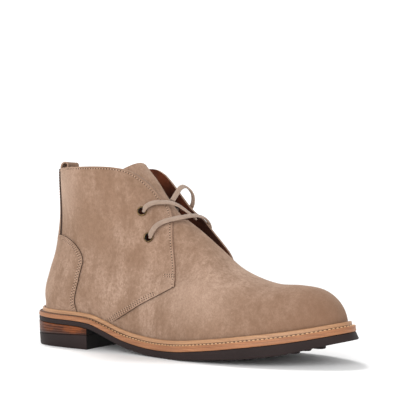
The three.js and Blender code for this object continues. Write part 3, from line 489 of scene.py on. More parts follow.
def add_object(name, data):
    obj = bpy.data.objects.new(name, data)
    bpy.context.scene.collection.objects.link(obj)
    return obj


def mesh_object(name, points, faces, indices=None):
    """A mesh with three material slots; indices say which one each face has."""
    mesh = bpy.data.meshes.new(name)
    mesh.from_pydata(to_row(points).tolist(), [], [list(map(int, f)) for f in faces])
    mesh.validate()
    for _ in range(3):
        mesh.materials.append(None)
    if indices is not None:
        mesh.polygons.foreach_set("material_index", np.asarray(indices, np.int32))
    return add_object(name, mesh)


def quads(rows, columns, ring, start=0, flip=False):
    """Faces of a grid of points, closed along its rows if ring."""
    i, j = np.meshgrid(np.arange(rows - 1), np.arange(columns if ring else columns - 1), indexing="ij")
    n = (j + 1) % columns
    faces = np.stack([i * columns + j, i * columns + n, (i + 1) * columns + n, (i + 1) * columns + j], -1)
    faces = faces.reshape(-1, 4) + start
    return faces[:, ::-1] if flip else faces


def end_faces(count, sides):
    """The two faces that close a stack of rings."""
    return [list(range(sides))[::-1], [sides * (count - 1) + i for i in range(sides)]]


def solid_between(name, outer, inner, ring):
    """A closed solid between two grids: its outer, inner and rim faces get three materials."""
    rows, columns = outer.shape[:2]
    count = rows * columns
    points = np.vstack([outer.reshape(-1, 3), inner.reshape(-1, 3)])
    faces = [quads(rows, columns, ring), quads(rows, columns, ring, count, True)]
    j = np.arange(columns if ring else columns - 1)
    n = (j + 1) % columns
    last = (rows - 1) * columns
    rim = [np.stack([j, count + j, count + n, n], 1)]
    rim.append(np.stack([last + j, last + n, count + last + n, count + last + j], 1))
    if not ring:
        i = np.arange(rows - 1) * columns
        end = i + columns - 1
        rim.append(np.stack([i, i + columns, count + i + columns, count + i], 1))
        rim.append(np.stack([end, count + end, count + end + columns, end + columns], 1))
    rim = np.vstack(rim)
    index = np.repeat((0, 1, 2), [len(faces[0]), len(faces[1]), len(rim)])
    return mesh_object(name, points, np.vstack([*faces, rim]), index)


def cut(obj, cutter, operation):
    """Cuts obj by a closed mesh, which is then gone."""
    change = obj.modifiers.new("cut", "BOOLEAN")
    change.operation = operation
    change.solver = "MANIFOLD"
    change.object = cutter
    graph = bpy.context.evaluated_depsgraph_get()
    mesh = bpy.data.meshes.new_from_object(obj.evaluated_get(graph))
    obj.modifiers.clear()
    old = obj.data
    obj.data = mesh
    bpy.data.meshes.remove(old)
    bpy.data.objects.remove(cutter)
    if not len(mesh.polygons):
        raise RuntimeError(f"{obj.name}: nothing is left of it")


def bar(shape, depth, axis="y", index=2):
    """A straight bar along an axis between two depths, with its section in the other two axes."""
    shape = np.asarray(shape, float)
    area = np.sum(shape[:, 0] * np.roll(shape[:, 1], -1) - np.roll(shape[:, 0], -1) * shape[:, 1])
    if (area < 0) == (axis != "y"):
        shape = shape[::-1]
    count = len(shape)
    column = np.full(count, 1.0)
    order = {"x": (2, 0, 1), "y": (0, 2, 1), "z": (0, 1, 2)}[axis]
    ends = [np.stack([shape[:, 0], shape[:, 1], column * d], 1)[:, order] for d in depth]
    j = np.arange(count)
    n = (j + 1) % count
    faces = [list(j[::-1]), list(j + count)] + np.stack([j, n, n + count, j + count], 1).tolist()
    return mesh_object("bar", np.vstack(ends), faces, [index] * len(faces))


def rim_loop(inset, height, steps=SOLE_STEPS):
    """Closed loop of a sole layer's rim at one inset and height, round from the back."""
    length = SOLE_LENGTH - 2 * inset
    x = inset + length * (1 - np.cos(np.linspace(0, np.pi, steps + 1))) / 2
    z = height(x)
    outer = np.stack([x, -half_width(x, LATERAL, inset), z], 1)
    inner = np.stack([x, half_width(x, MEDIAL, inset), z], 1)
    return np.vstack([outer, inner[-2:0:-1]])


def layer(name, rims, index=0):
    """A layer of the sole, stacked from (inset, height) rims, its lowest one first."""
    loops = [rim_loop(*one) for one in rims]
    size = len(loops[0])
    steps = size // 2
    faces = quads(len(loops), size, True).tolist()
    i = np.arange(1, steps - 1)
    strip = np.stack([i, size - i, size - i - 1, i + 1], 1)
    tips = np.array([[0, size - 1, 1, 1], [steps - 1, steps + 1, steps, steps]])
    top = (len(loops) - 1) * size
    faces += np.vstack([strip, strip[:, ::-1] + top]).tolist()
    faces += [list(t[:3]) for t in tips] + [list(t[:3][::-1] + top) for t in tips]
    return mesh_object(name, np.vstack(loops), faces, [index] * len(faces))


# Camera: the photograph's viewing angle
CAMERA_TURN = 32.74
CAMERA_RISE = -1.29
CAMERA_ROLL = 0.19
CAMERA_DISTANCE = 0.85
CAMERA_TARGET = (0.0129, 0.003, 0.1276)
CAMERA_LENS = 91.19


def aimed(direction):
    return direction.to_track_quat("-Z", "Y")


def add_camera():
    data = bpy.data.cameras.new("camera")
    data.sensor_width = 36
    data.lens = CAMERA_LENS
    camera = add_object("camera", data)
    azimuth = math.radians(CAMERA_TURN)
    rise = math.radians(CAMERA_RISE)
    away = Vector((math.sin(azimuth) * math.cos(rise), -math.cos(azimuth) * math.cos(rise), math.sin(rise)))
    camera.location = Vector(CAMERA_TARGET) + away * CAMERA_DISTANCE
    aim = aimed(-away) @ Quaternion((0, 0, 1), math.radians(CAMERA_ROLL))
    camera.rotation_euler = aim.to_euler()
    bpy.context.scene.camera = camera


add_camera()


# Materials
def rgb(red, green, blue):
    """Linear colour of an sRGB colour given in 0 to 255."""
    def linear(v):
        v /= 255
        return v / 12.92 if v <= 0.04045 else ((v + 0.055) / 1.055) ** 2.4
    return linear(red), linear(green), linear(blue), 1


class Look:
    """A procedural material: short names for the nodes that it is built of."""

    def __init__(self, name, inputs):
        self.material = bpy.data.materials.new(name)
        self.material.use_nodes = True
        self.tree = self.material.node_tree
        self.shader = self.tree.nodes["Principled BSDF"]
        for key, value in inputs.items():
            self.shader.inputs[key].default_value = value
        self.place = self.node("ShaderNodeTexCoord", {}).outputs["Object"]

    def node(self, kind, inputs, **settings):
        made = self.tree.nodes.new(kind)
        for key, value in settings.items():
            setattr(made, key, value)
        for key, value in inputs.items():
            self.put(made.inputs[key], value)
        return made

    def put(self, target, value):
        if isinstance(value, bpy.types.NodeSocket):
            self.tree.links.new(value, target)
        else:
            target.default_value = value

    def stretched(self, scale, turned=(0, 0, 0)):
        inputs = {"Vector": self.place, "Scale": scale, "Rotation": turned}
        return self.node("ShaderNodeMapping", inputs).outputs["Vector"]

    def noise(self, size, detail=3.0, rough=0.55, place=None):
        inputs = {"Vector": place or self.place, "Scale": 1 / size, "Detail": detail, "Roughness": rough}
        return self.node("ShaderNodeTexNoise", inputs).outputs["Fac"]

    def spread(self, value, low, high, to_low=0.0, to_high=1.0):
        inputs = {"Value": value, "From Min": low, "From Max": high, "To Min": to_low, "To Max": to_high}
        return self.node("ShaderNodeMapRange", inputs).outputs["Result"]

    def mix(self, factor, first, second):
        inputs = {"Factor": factor, 6: first, 7: second}
        return self.node("ShaderNodeMix", inputs, data_type="RGBA").outputs[2]

    def blend(self, value, span, first, second, most=1.0):
        """Turns from one colour to another as a value crosses a span."""
        return self.mix(self.spread(value, *span, 0.0, most), first, second)

    def math(self, kind, first, second=0.0):
        return self.node("ShaderNodeMath", {0: first, 1: second}, operation=kind).outputs[0]

    def axis(self, name, place=None):
        return self.node("ShaderNodeSeparateXYZ", {0: place or self.place}).outputs[name]

    def bump(self, height, distance, strength, normal=None):
        made = self.node("ShaderNodeBump", {"Height": height, "Distance": distance, "Strength": strength})
        if normal is not None:
            self.put(made.inputs["Normal"], normal)
        return made.outputs["Normal"]

    def spot(self, centre, reach):
        """One at a centre, easing to nothing at its reach along x, y and z."""
        inputs = {"Vector": self.place, "Location": centre, "Scale": reach}
        moved = self.node("ShaderNodeMapping", inputs, vector_type="TEXTURE").outputs["Vector"]
        away = self.node("ShaderNodeVectorMath", {0: moved}, operation="LENGTH").outputs["Value"]
        inputs = {"Value": away, "From Min": 0.0, "From Max": 1.0, "To Min": 1.0, "To Max": 0.0}
        made = self.node("ShaderNodeMapRange", inputs, interpolation_type="SMOOTHSTEP")
        return made.outputs["Result"]

    def tint(self, colour, mask, strength, tone):
        """A colour that turns towards a tone where a mask is one."""
        return self.mix(self.math("MULTIPLY", mask, strength), colour, tone)

    def colour(self, value):
        self.put(self.shader.inputs["Base Color"], value)

    def relief(self, normal):
        self.put(self.shader.inputs["Normal"], normal)


# Patches of the suede's colour: centre, reach, strength and tone. The first is brushed darker; the other
# two are painted light, lighter where light falls on the upper back and on the vamp
BRUSHED_AND_LIT = (
    ((-0.085, -0.03, 0.1), (0.04, 0.05, 0.03), 0.35, (128, 99, 77)),
    ((-0.12, -0.03, 0.14), (0.045, 0.05, 0.04), 0.6, (190, 162, 143)),
    ((0.035, -0.05, 0.055), (0.06, 0.04, 0.04), 0.5, (188, 160, 141)),
)


def suede():
    """Napped suede: patches under brushed strokes, flecks and fine hairs, darker towards the toe, with
    painted light on the upper back and the vamp.
    """
    look = Look("suede", {
        "Roughness": 0.92, "Sheen Weight": 0.22, "Sheen Roughness": 0.55,
        "Sheen Tint": rgb(226, 203, 182), "Specular IOR Level": 0.2,
    })
    patches = look.spread(look.noise(0.042, 4, 0.58), 0.36, 0.62)
    colour = look.mix(patches, rgb(175, 147, 128), rgb(144, 115, 95))
    strokes = look.noise(0.011, 5, 0.7, look.stretched((1, 1, 0.4), (0.2, 0.35, 0)))
    colour = look.blend(strokes, (0.42, 0.68), colour, rgb(126, 98, 78), 0.85)
    flecks = look.noise(0.0026, 3, 0.7)
    colour = look.blend(flecks, (0.42, 0.7), colour, rgb(122, 94, 75), 0.6)
    # A brushed darker patch, and painted light on the upper back and the vamp
    for centre, reach, strength, tone in BRUSHED_AND_LIT:
        colour = look.tint(colour, look.spot(centre, reach), strength, rgb(*tone))
    colour = look.tint(colour, look.spread(look.axis("X"), 0.06, 0.14), 0.8, rgb(122, 90, 69))
    hairs = look.noise(0.0008, 2, 0.7, look.stretched((1, 1, 0.5)))
    colour = look.blend(hairs, (0.35, 0.7), colour, rgb(110, 84, 66), 0.4)
    look.colour(colour)
    ripple = look.bump(look.noise(0.012, 3, 0.5), 0.0006, 0.5)
    look.relief(look.bump(look.noise(0.0009, 3, 0.7), 0.00035, 0.7, ripple))
    return look.material


def shaded_cut_edge(name, pale_above):
    """Raw edge of a panel: dark below a height, partly its own colour and partly painted shade in the gap
    beside it, and paler above it, where it is folded.
    """
    look = Look(name, {"Roughness": 0.9})
    fibres = look.noise(0.0012, 3, 0.7)
    # Painted shade: this dark colour is partly the shade in the gap beside the edge
    dark = look.blend(fibres, (0.3, 0.7), rgb(60, 36, 24), rgb(38, 22, 14))
    pale = look.blend(fibres, (0.3, 0.7), rgb(150, 122, 102), rgb(112, 84, 66))
    look.colour(look.blend(look.axis("Z"), (pale_above, pale_above + 0.008), dark, pale))
    look.relief(look.bump(fibres, 0.0003, 0.6))
    return look.material


def lining():
    """Brown leather, with painted shade down the throat and behind the tongue."""
    look = Look("lining_leather", {"Roughness": 0.55})
    patches = look.noise(0.02, 3, 0.5)
    colour = look.blend(patches, (0.35, 0.7), rgb(124, 62, 34), rgb(80, 38, 22))
    # Painted shade: the lining turns near black down the throat and behind the tongue, where the quarters
    # and the tongue shade it
    throat = look.spot((0.012, 0.014, 0.105), (0.06, 0.055, 0.08))
    behind = look.spot((-0.034, 0.018, 0.128), (0.04, 0.035, 0.035))
    shade = look.math("MAXIMUM", throat, behind)
    look.colour(look.tint(colour, shade, 0.9, rgb(34, 15, 9)))
    look.relief(look.bump(look.noise(0.0011, 3, 0.6), 0.0002, 0.4))
    return look.material


def welt_leather(name, first, second):
    look = Look(name, {"Roughness": 0.5})
    streaks = look.noise(0.006, 4, 0.6, look.stretched((0.25, 0.25, 6)))
    specks = look.noise(0.0012, 3, 0.7)
    colour = look.blend(streaks, (0.3, 0.7), first, second)
    look.colour(look.blend(specks, (0.45, 0.8), colour, rgb(112, 72, 40), 0.35))
    look.relief(look.bump(specks, 0.0002, 0.5))
    return look.material


def stack_leather():
    """Streaked orange and dark brown, dark along its foot."""
    inputs = {"Roughness": 0.5, "Specular IOR Level": 0.25, "Coat Weight": 0.03, "Coat Roughness": 0.3}
    look = Look("stack_leather", inputs)
    streaks = look.noise(0.01, 4, 0.65, look.stretched((0.5, 0.5, 9)))
    colour = look.blend(streaks, (0.35, 0.65), rgb(98, 49, 22), rgb(46, 24, 15))
    patches = look.noise(0.02, 4, 0.6, look.stretched((1, 1, 2.5)))
    colour = look.blend(patches, (0.46, 0.62), colour, rgb(132, 70, 29), 0.8)
    look.colour(look.blend(look.axis("Z"), (0.0145, 0.0118), colour, rgb(52, 32, 26)))
    look.relief(look.bump(streaks, 0.0003, 0.5))
    return look.material


def rubber(name, light, deep):
    look = Look(name, {"Roughness": 0.62, "Specular IOR Level": 0.18})
    broad = look.noise(0.03, 3, 0.5)
    look.colour(look.blend(broad, (0.3, 0.7), light, deep))
    look.relief(look.bump(look.noise(0.0016, 3, 0.6), 0.00015, 0.5))
    return look.material


def brass():
    look = Look("antique_brass", {"Roughness": 0.38, "Metallic": 0.9})
    worn = look.noise(0.0015, 3, 0.6)
    look.colour(look.blend(worn, (0.35, 0.65), rgb(124, 100, 68), rgb(64, 48, 32)))
    look.relief(look.bump(worn, 0.00008, 0.4))
    return look.material


def twisted(look, light, deep):
    """Colour of a twisted thread."""
    return look.blend(look.noise(0.0006, 2, 0.6), (0.35, 0.7), light, deep)


def thread(name, light, deep):
    look = Look(name, {"Roughness": 0.75})
    look.colour(twisted(look, light, deep))
    return look.material


def welt_thread():
    """Pale waxed thread, darker along the heel."""
    look = Look("welt_thread", {"Roughness": 0.75})
    pale = twisted(look, rgb(230, 188, 142), rgb(196, 152, 108))
    heel_darker = twisted(look, rgb(120, 78, 50), rgb(84, 52, 32))
    look.colour(look.blend(look.axis("X"), (-0.085, -0.03), heel_darker, pale))
    return look.material


def lace_cloth():
    """Flat woven lace: herringbone of fine yarns from the mesh's own lengthwise and crosswise places."""
    look = Look("lace_cloth", {"Roughness": 0.85, "Sheen Weight": 0.2})
    place = look.node("ShaderNodeUVMap", {}, uv_map="weave").outputs["UV"]
    along = look.axis("X", place)
    across = look.axis("Y", place)
    waves = look.math("FRACT", look.math("MULTIPLY", across, 3))
    folded = look.math("ABSOLUTE", look.math("SUBTRACT", waves, 0.5))
    slant = look.math("ADD", look.math("MULTIPLY", along, 1 / 0.0011), look.math("MULTIPLY", folded, 1.6))
    yarn = look.math("ABSOLUTE", look.math("SINE", look.math("MULTIPLY", slant, math.pi)))
    colour = look.mix(yarn, rgb(132, 109, 94), rgb(172, 148, 130))
    look.colour(look.blend(look.noise(0.006), (0.4, 0.7), colour, rgb(118, 96, 80), 0.3))
    look.relief(look.bump(yarn, 0.0003, 0.8))
    return look.material


SUEDE = suede()
# Panel edges with painted shade: dark all over on the first, dark only below a height on the second
SHADED_EDGE = shaded_cut_edge("edge_in_shade", 1.0)
SHADED_LOW_EDGE = shaded_cut_edge("edge_in_low_shade", 0.053)
LINING = lining()
WELT = welt_leather("welt_leather", rgb(184, 140, 102), rgb(150, 106, 72))
MIDSOLE = welt_leather("midsole_leather", rgb(168, 113, 74), rgb(132, 83, 50))
# Painted shade: dark brown on the welt's shelf by the rib, for the shade in the groove
GROOVE_SHADE = welt_leather("groove_shade_leather", rgb(104, 68, 42), rgb(76, 48, 30))
STACK = stack_leather()
RUBBER = rubber("sole_rubber", rgb(43, 32, 31), rgb(34, 25, 24))
# Painted shade: near black on the heel's hollow front face, for the shade that falls on it
BREAST_SHADE = rubber("breast_shade_rubber", rgb(16, 12, 11), rgb(10, 8, 7))
BRASS = brass()
THREAD = thread("suede_thread", rgb(192, 162, 139), rgb(160, 130, 108))
# Painted shade: dark discs for the shade in the stitches' needle holes
NEEDLE_HOLE_SHADE = thread("stitch_hole_shade", rgb(52, 34, 25), rgb(40, 26, 19))
# Painted shade: matte near black inside the eyelets' holes
BARREL_SHADE = thread("eyelet_hole_shade", rgb(38, 30, 24), rgb(26, 20, 16))
WELT_THREAD = welt_thread()
LACE = lace_cloth()


def finish_piece(obj, materials, replaces=(), crease=35):
    """Gives a piece its materials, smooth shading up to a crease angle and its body."""
    mesh = obj.data
    for i in range(3):
        mesh.materials[i] = materials[min(i, len(materials) - 1)]
    mesh.shade_smooth()
    mesh.set_sharp_from_angle(angle=math.radians(crease))
    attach(obj, "root")
    if replaces:
        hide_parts(*replaces)


# Laces: points along their middles in millimetres, from which the ends go on into the shaft
UPPER_BAR = [
    (127.5, -24.3, 118.4), (129.5, -25, 121.2), (131.2, -22.9, 123.4), (133.9, -18.8, 125.1),
    (137.7, -15.4, 125.6), (143.7, -9, 125.4), (148.2, -4, 123.2), (152.8, -0.5, 119.4),
    (157, 1, 116), (159.5, 4, 113.4), (158.4, 7, 112.2),
]
LOWER_BAR = [
    (136.7, -27.9, 96.7), (138.2, -29, 99.6), (139.4, -27.8, 102.3), (141, -25.5, 105.8),
    (144.8, -22, 108.9), (149.6, -17.9, 111), (154.4, -13.4, 112.4), (158.2, -8, 113.6),
    (160.4, -2, 114.4), (161.2, 4.3, 114.6), (161.5, 10, 113.9), (162.2, 15, 112.8),
    (163, 20.5, 109.3), (161.6, 25.5, 104.6), (156.5, 29.5, 100.5), (149, 31.8, 98),
    (140, 32.6, 96.6), (135.6, 30.9, 96.5),
]
LOOP_ROUTE = [
    (143.6, -5.8, 127.2), (143.9, -2.6, 130.4), (144.6, 0.8, 134.6), (144.7, 5, 138.2),
    (144.4, 12, 139.6), (145, 18, 137.4), (145.3, 22.5, 133.4), (143.8, 26, 129.6),
    (141.5, 29, 125.6), (137.5, 32, 121.8), (132.6, 33.2, 119.8), (129.2, 31.2, 119.9),
]
HOLE_LACE_WIDTH = 0.0026
HOLE_LACE_THICK = 0.0018
LACE_TAIL = 0.012
LACE_DEPTHS = (0.0005, 0.004, LACE_TAIL)
LACE_SQUEEZE = 0.008
LACE_SIDES = 20
LACE_STEPS = 8
LACE_LEAN = (0.0015, 0, 0.0004)
LACE_ROUNDING = 0.8
# The way that a lace's flat side faces, more to the side the further out the lace lies
LACE_FORWARDS = 0.6
LACE_OUTWARDS = 0.022
LACE_UPWARDS = 0.75


def eyelet_seat(name):
    """Middle of an eyelet on the quarter's face and the direction that it faces."""
    side, share, up = EYELETS[name]
    x = share * SOLE_LENGTH
    z = float(level(x, up))
    reach = EYELET_OUTER / 2
    xs = np.array([x, x + reach, x - reach, x, x])
    zs = np.array([z, z, z, z + reach, z - reach])
    centre, right, left, above, below = face_point(xs, zs, side)
    normal = np.cross(right - left, above - below) * -SIGN[side]
    return centre, normal / np.linalg.norm(normal)


def through(name):
    """Points that lead a lace's end through an eyelet, inwards."""
    centre, normal = eyelet_seat(name)
    centre = centre + np.array(LACE_LEAN)
    return [centre - normal * d for d in LACE_DEPTHS]


def ribbon(name, route, both=False):
    """A flat woven lace along a route; its start lies in an eyelet, and its end too if both do."""
    path = spline(route, LACE_STEPS)
    count = len(path)
    run = unit(np.gradient(path, axis=0))
    out = [np.full(count, LACE_FORWARDS), path[:, 1] / LACE_OUTWARDS, np.full(count, LACE_UPWARDS)]
    out = np.stack(out, 1)
    thin = unit(out - run * np.sum(out * run, 1)[:, None])
    wide = np.cross(run, thin)
    length = run_length(path)
    squeeze = 1 - ease(LACE_TAIL, LACE_TAIL + LACE_SQUEEZE, length)
    if both:
        end = 1 - ease(LACE_TAIL, LACE_TAIL + LACE_SQUEEZE, length[-1] - length)
        squeeze = np.maximum(squeeze, end)
    width = LACE_WIDTH + (HOLE_LACE_WIDTH - LACE_WIDTH) * squeeze
    thick = LACE_THICK + (HOLE_LACE_THICK - LACE_THICK) * squeeze
    angle = np.arange(LACE_SIDES) * 2 * np.pi / LACE_SIDES
    c, s = np.cos(angle), np.sin(angle)
    flat_c = np.sign(c) * np.abs(c) ** LACE_ROUNDING / 2
    flat_s = np.sign(s) * np.abs(s) ** LACE_ROUNDING / 2
    points = path[:, None] + thin[:, None] * (thick[:, None] * flat_c)[..., None]
    points = points + wide[:, None] * (width[:, None] * flat_s)[..., None]
    faces = quads(count, LACE_SIDES, True).tolist() + end_faces(count, LACE_SIDES)
    obj = mesh_object(name, points, faces)
    layer_uv = obj.data.uv_layers.new(name="weave")
    place = np.stack([np.repeat(length, LACE_SIDES), np.tile(flat_s + 0.5, count)], 1)
    corners = np.empty(len(obj.data.loops), np.int32)
    obj.data.loops.foreach_get("vertex_index", corners)
    layer_uv.data.foreach_set("uv", place[corners].ravel())
    return obj, path, length[-1]


def metres(route):
    return [np.array(p) * MM for p in route]


def make_laces():
    start = through("eyelet_outer_upper")[::-1]
    upper = ribbon("lace_upper_bar", start + metres(UPPER_BAR))[0]
    start = through("eyelet_outer_lower")[::-1]
    end = through("eyelet_inner_lower")
    lower = ribbon("lace_lower_bar", start + metres(LOWER_BAR) + end, True)[0]
    for obj in (upper, lower):
        finish_piece(obj, [LACE], ["laces"], 60)
    start = through("eyelet_inner_upper")[::-1]
    loop, path, length = ribbon("lace_loop_cord", start + metres(LOOP_ROUTE[::-1]))
    finish_piece(loop, [LACE], ["lace_loop"], 60)
    path = to_row(path)


make_laces()


# Upper
def shell(name, grid, face, thickness):
    return solid_between(name, grid.offset(face), grid.offset(face - thickness), True)


def under_seat():
    return layer("under_seat", [(RIB_END, underside), (RIB_END, seat)], 2)


def quarter_bar(side):
    """What a quarter keeps: all behind its edge, on its own side of the boot."""
    front = side_line(COLLAR_LINES[side])[::-1]
    low = side_line(FOOT_LINES[side])[::-1]
    shape = [(-FAR, -FAR), (low[0, 0], -FAR), *low, *front, (-FAR, COLLAR_HEIGHT)]
    return bar(shape, (-FAR, 0) if side == LATERAL else (0, FAR))


def block(x1, x2, y1, y2, z1, z2):
    return bar([(x1, y1), (x2, y1), (x2, y2), (x1, y2)], (z1, z2), "z")


def drill(name, index=2):
    """A round cutter at an eyelet, through the quarter and what lies behind it."""
    radius = EYELET_BARREL / 2 + GAP
    line = [(0, -DRILL_DEPTH), (radius, -DRILL_DEPTH), (radius, DRILL_RISE), (0, DRILL_RISE)]
    return lathe("drill", line, *eyelet_seat(name), index)


def lathe(name, profile_line, centre, normal, index=0, sides=48):
    """A turned form: (radius, height) points round a normal, closed on itself or on the axis."""
    across = np.cross(normal, (1, 0, 0) if abs(normal[2]) > 0.9 else (0, 0, 1))
    across /= np.linalg.norm(across)
    up = np.cross(normal, across)
    angle = np.arange(sides) * 2 * np.pi / sides
    spoke = np.outer(np.cos(angle), across) + np.outer(np.sin(angle), up)
    on_axis = profile_line[0][0] == 0
    line = profile_line[1:-1] if on_axis else profile_line
    loops = [centre + spoke * r + normal * h for r, h in line]
    count = len(loops)
    faces = quads(count, sides, True).tolist()
    if on_axis:
        faces += end_faces(count, sides)
    else:
        j = np.arange(sides)
        n = (j + 1) % sides
        low = sides * (count - 1)
        faces += np.stack([low + j, low + n, n, j], 1).tolist()
    return mesh_object(name, np.vstack(loops), faces, [index] * len(faces))


def make_upper(grid):
    face = quarter_face(grid)
    wall = np.full(face.shape, QUARTER_WALL)
    for side, name in QUARTERS:
        quarter = shell(name, grid, face, wall)
        cut(quarter, under_seat(), "DIFFERENCE")
        cut(quarter, quarter_bar(side), "INTERSECT")
        throat = block(INSTEP_START, FAR, -THROAT_GAP / 2, THROAT_GAP / 2, HEEL_LIFT, FAR)
        cut(quarter, throat, "DIFFERENCE")
        for eyelet, (eyelet_side, _, _) in EYELETS.items():
            if eyelet_side == side:
                cut(quarter, drill(eyelet), "DIFFERENCE")
        # Rims that face upwards keep the suede colour: the edge material's dark is painted shade, which
        # falls only on the other rims
        for polygon in quarter.data.polygons:
            if polygon.material_index == 2 and polygon.normal.z > 0.85:
                polygon.material_index = 0
        finish_piece(quarter, [SUEDE, LINING, SHADED_LOW_EDGE], ["upper"])
    vamp = shell("vamp", grid, np.zeros(face.shape), np.full(face.shape, VAMP_WALL))
    cut(vamp, under_seat(), "DIFFERENCE")
    back = side_line(VAMP_BACK_LINE)
    below = back[back[:, 1] < THROAT_HEIGHT]
    shape = [(back[0, 0], THROAT_HEIGHT), *below, (below[-1, 0], -FAR), (FAR, -FAR), (FAR, THROAT_HEIGHT)]
    cut(vamp, bar(shape, (-FAR, FAR)), "INTERSECT")
    finish_piece(vamp, [SUEDE, LINING, SHADED_EDGE], ["upper"])


def counter_bar(rise):
    line = side_line(COUNTER_LINE) + (0, rise)
    return bar([(-FAR, -FAR), (line[-1, 0], -FAR), *line[::-1], (-FAR, line[0, 1])], (-FAR, FAR))


def make_counter(grid):
    thick = skived(COUNTER_FOOT, COUNTER_THICK, grid.rise)
    counter = shell("heel_counter_cover", grid, quarter_face(grid) + GAP + thick, thick)
    cut(counter, under_seat(), "DIFFERENCE")
    cut(counter, counter_bar(0), "INTERSECT")
    finish_piece(counter, [SUEDE, SUEDE, SHADED_EDGE], ["heel_counter"])


def make_stay(grid):
    thick = np.full(grid.share.shape, STAY_THICK)
    stay = shell("back_stay_cover", grid, quarter_face(grid) + GAP + thick, thick)
    low = COUNTER_TOP - COUNTER_THICK
    foot, top = STAY_WIDTH_FOOT / 2, STAY_WIDTH_TOP / 2
    section = [(-foot, low), (foot, low), (top, COLLAR_HEIGHT), (-top, COLLAR_HEIGHT)]
    cut(stay, bar(section, (-FAR, INSTEP_START), "x"), "INTERSECT")
    cut(stay, counter_bar(GAP), "DIFFERENCE")
    finish_piece(stay, [SUEDE, SUEDE, SHADED_EDGE], ["back_stay"])


def last_points(share, z, side):
    """Points of the last by their share of the way from the back seam to the crest, at a height."""
    x = place_at(share, z)
    half = np.where(side == LATERAL, -last_half(x, z, LATERAL), last_half(x, z, MEDIAL))
    y = np.where((share <= 0) | (share >= 1), 0, half)
    return np.stack([x, y, z], -1)


def tongue_grid(rows, columns):
    u = np.broadcast_to(np.linspace(-1, 1, columns + 1), (rows + 1, columns + 1))
    low = THROAT_HEIGHT - 4 * TONGUE_WALL
    top = TONGUE_TOP - TONGUE_DROP * u**2
    z = low + (top - low) * np.linspace(0, 1, rows + 1)[:, None]
    share = 1 - TONGUE_HIDDEN * u**2
    side = np.where(u <= 0, LATERAL, MEDIAL)
    return Grid(last_points(share, z, side), share, side, False), u


def make_tongue():
    grid, u = tongue_grid(TONGUE_ROWS, TONGUE_STEPS)
    depth = TONGUE_DEPTH + TONGUE_TUCK * np.abs(u)
    tongue = solid_between("tongue_cover", grid.offset(-depth), grid.offset(-depth - TONGUE_WALL), False)
    cut(tongue, block(-FAR, FAR, -FAR, FAR, THROAT_HEIGHT + GAP, FAR), "INTERSECT")
    for eyelet in ("eyelet_outer_upper", "eyelet_inner_upper"):
        cut(tongue, drill(eyelet, 1), "DIFFERENCE")
    finish_piece(tongue, [SUEDE, LINING, SUEDE], ["tongue"])


def back_points(across, z, offset):
    """Points that stand off the back of the shaft, at a distance across from the back seam."""
    shares = roundly(0, 0.4, 120)
    points = []
    for a, height, off in zip(np.ravel(across), np.ravel(z), np.ravel(offset)):
        side = MEDIAL if a > 0 else LATERAL
        half = last_half(place_at(shares, height), height, side)
        half[0] = 0
        x = place_at(np.interp(abs(a), half, shares), height)
        bend = abs(a) / (SHAFT_WIDTH / 2)
        points.append((x - off * math.sqrt(1 - bend * bend), a * (1 + off / SHAFT_WIDTH), height))
    return np.array(points).reshape(*np.shape(across), 3)


def roundly(start, end, count):
    """Values from start to end that close up towards the start."""
    return start + (end - start) * (1 - np.cos(np.linspace(0, np.pi / 2, count)))


def make_pull_loop():
    outside = QUARTER_STEP + GAP + STAY_THICK + GAP + LOOP_THICK / 2
    inside = QUARTER_STEP - QUARTER_WALL - GAP - LOOP_THICK / 2
    middle, reach = (outside + inside) / 2, (outside - inside) / 2
    down = np.linspace(LOOP_LEG, 0, 9)
    angle = np.linspace(0, np.pi, 17)[1:-1]
    z = COLLAR_HEIGHT + np.concatenate([-down, LOOP_RISE * np.sin(angle), -down[::-1]])
    arch = middle - LOOP_BULGE / 2 * np.sin(angle) + (reach + LOOP_BULGE * np.sin(angle)) * np.cos(angle)
    offset = np.concatenate([np.full(9, outside), arch, np.full(9, inside)])
    across = np.linspace(-LOOP_WIDTH / 2, LOOP_WIDTH / 2, 13)
    shape = (len(z), len(across))
    places = [np.broadcast_to(part, shape) for part in (across, z[:, None], offset[:, None])]
    points = back_points(*places)
    grid = Grid(points, np.zeros(shape), LATERAL, False)
    half = np.full(shape, LOOP_THICK / 2)
    loop = solid_between("pull_loop_cover", grid.offset(half), grid.offset(-half), False)
    finish_piece(loop, [SUEDE, SHADED_LOW_EDGE, SUEDE], ["pull_loop"])


def make_eyelets():
    hole, barrel, outer = EYELET_HOLE / 2, EYELET_BARREL / 2, EYELET_OUTER / 2
    rim, lip, steps, fullness = 0.0003, 0.0002, 10, 0.7
    line = [(hole, -QUARTER_WALL), (barrel, -QUARTER_WALL), (barrel, EYELET_CLEAR)]
    line.append((outer, EYELET_CLEAR - rim))
    middle, reach = (hole + outer) / 2, (outer - hole) / 2
    for step in range(1, steps):
        angle = math.pi * step / steps
        height = EYELET_CLEAR + EYELET_FLANGE * math.sin(angle) ** fullness
        line.append((middle + reach * math.cos(angle), height))
    line.append((hole, EYELET_CLEAR - lip))
    low = -QUARTER_WALL - EYELET_CLEAR
    cup = [(0, low), (barrel, low), *line[2:], (hole, -QUARTER_WALL), (0, -QUARTER_WALL)]
    for name, (side, _, _) in EYELETS.items():
        centre, normal = eyelet_seat(name)
        ring = lathe(name + "_ring", line if side == LATERAL else cup, centre, normal)
        # Faces round the hole take the near-black barrel colour, painted shade in the hole; on the inner
        # side the ring is a closed cup, and its floor, a dark sheet in the hole, takes it too
        for face in ring.data.polygons:
            spoke = np.array(face.center) + ORIGIN - centre
            outwards = spoke - normal * np.dot(spoke, normal)
            face.material_index = int(np.linalg.norm(outwards) < hole + lip)
        finish_piece(ring, [BRASS, BARREL_SHADE], [name], 50)


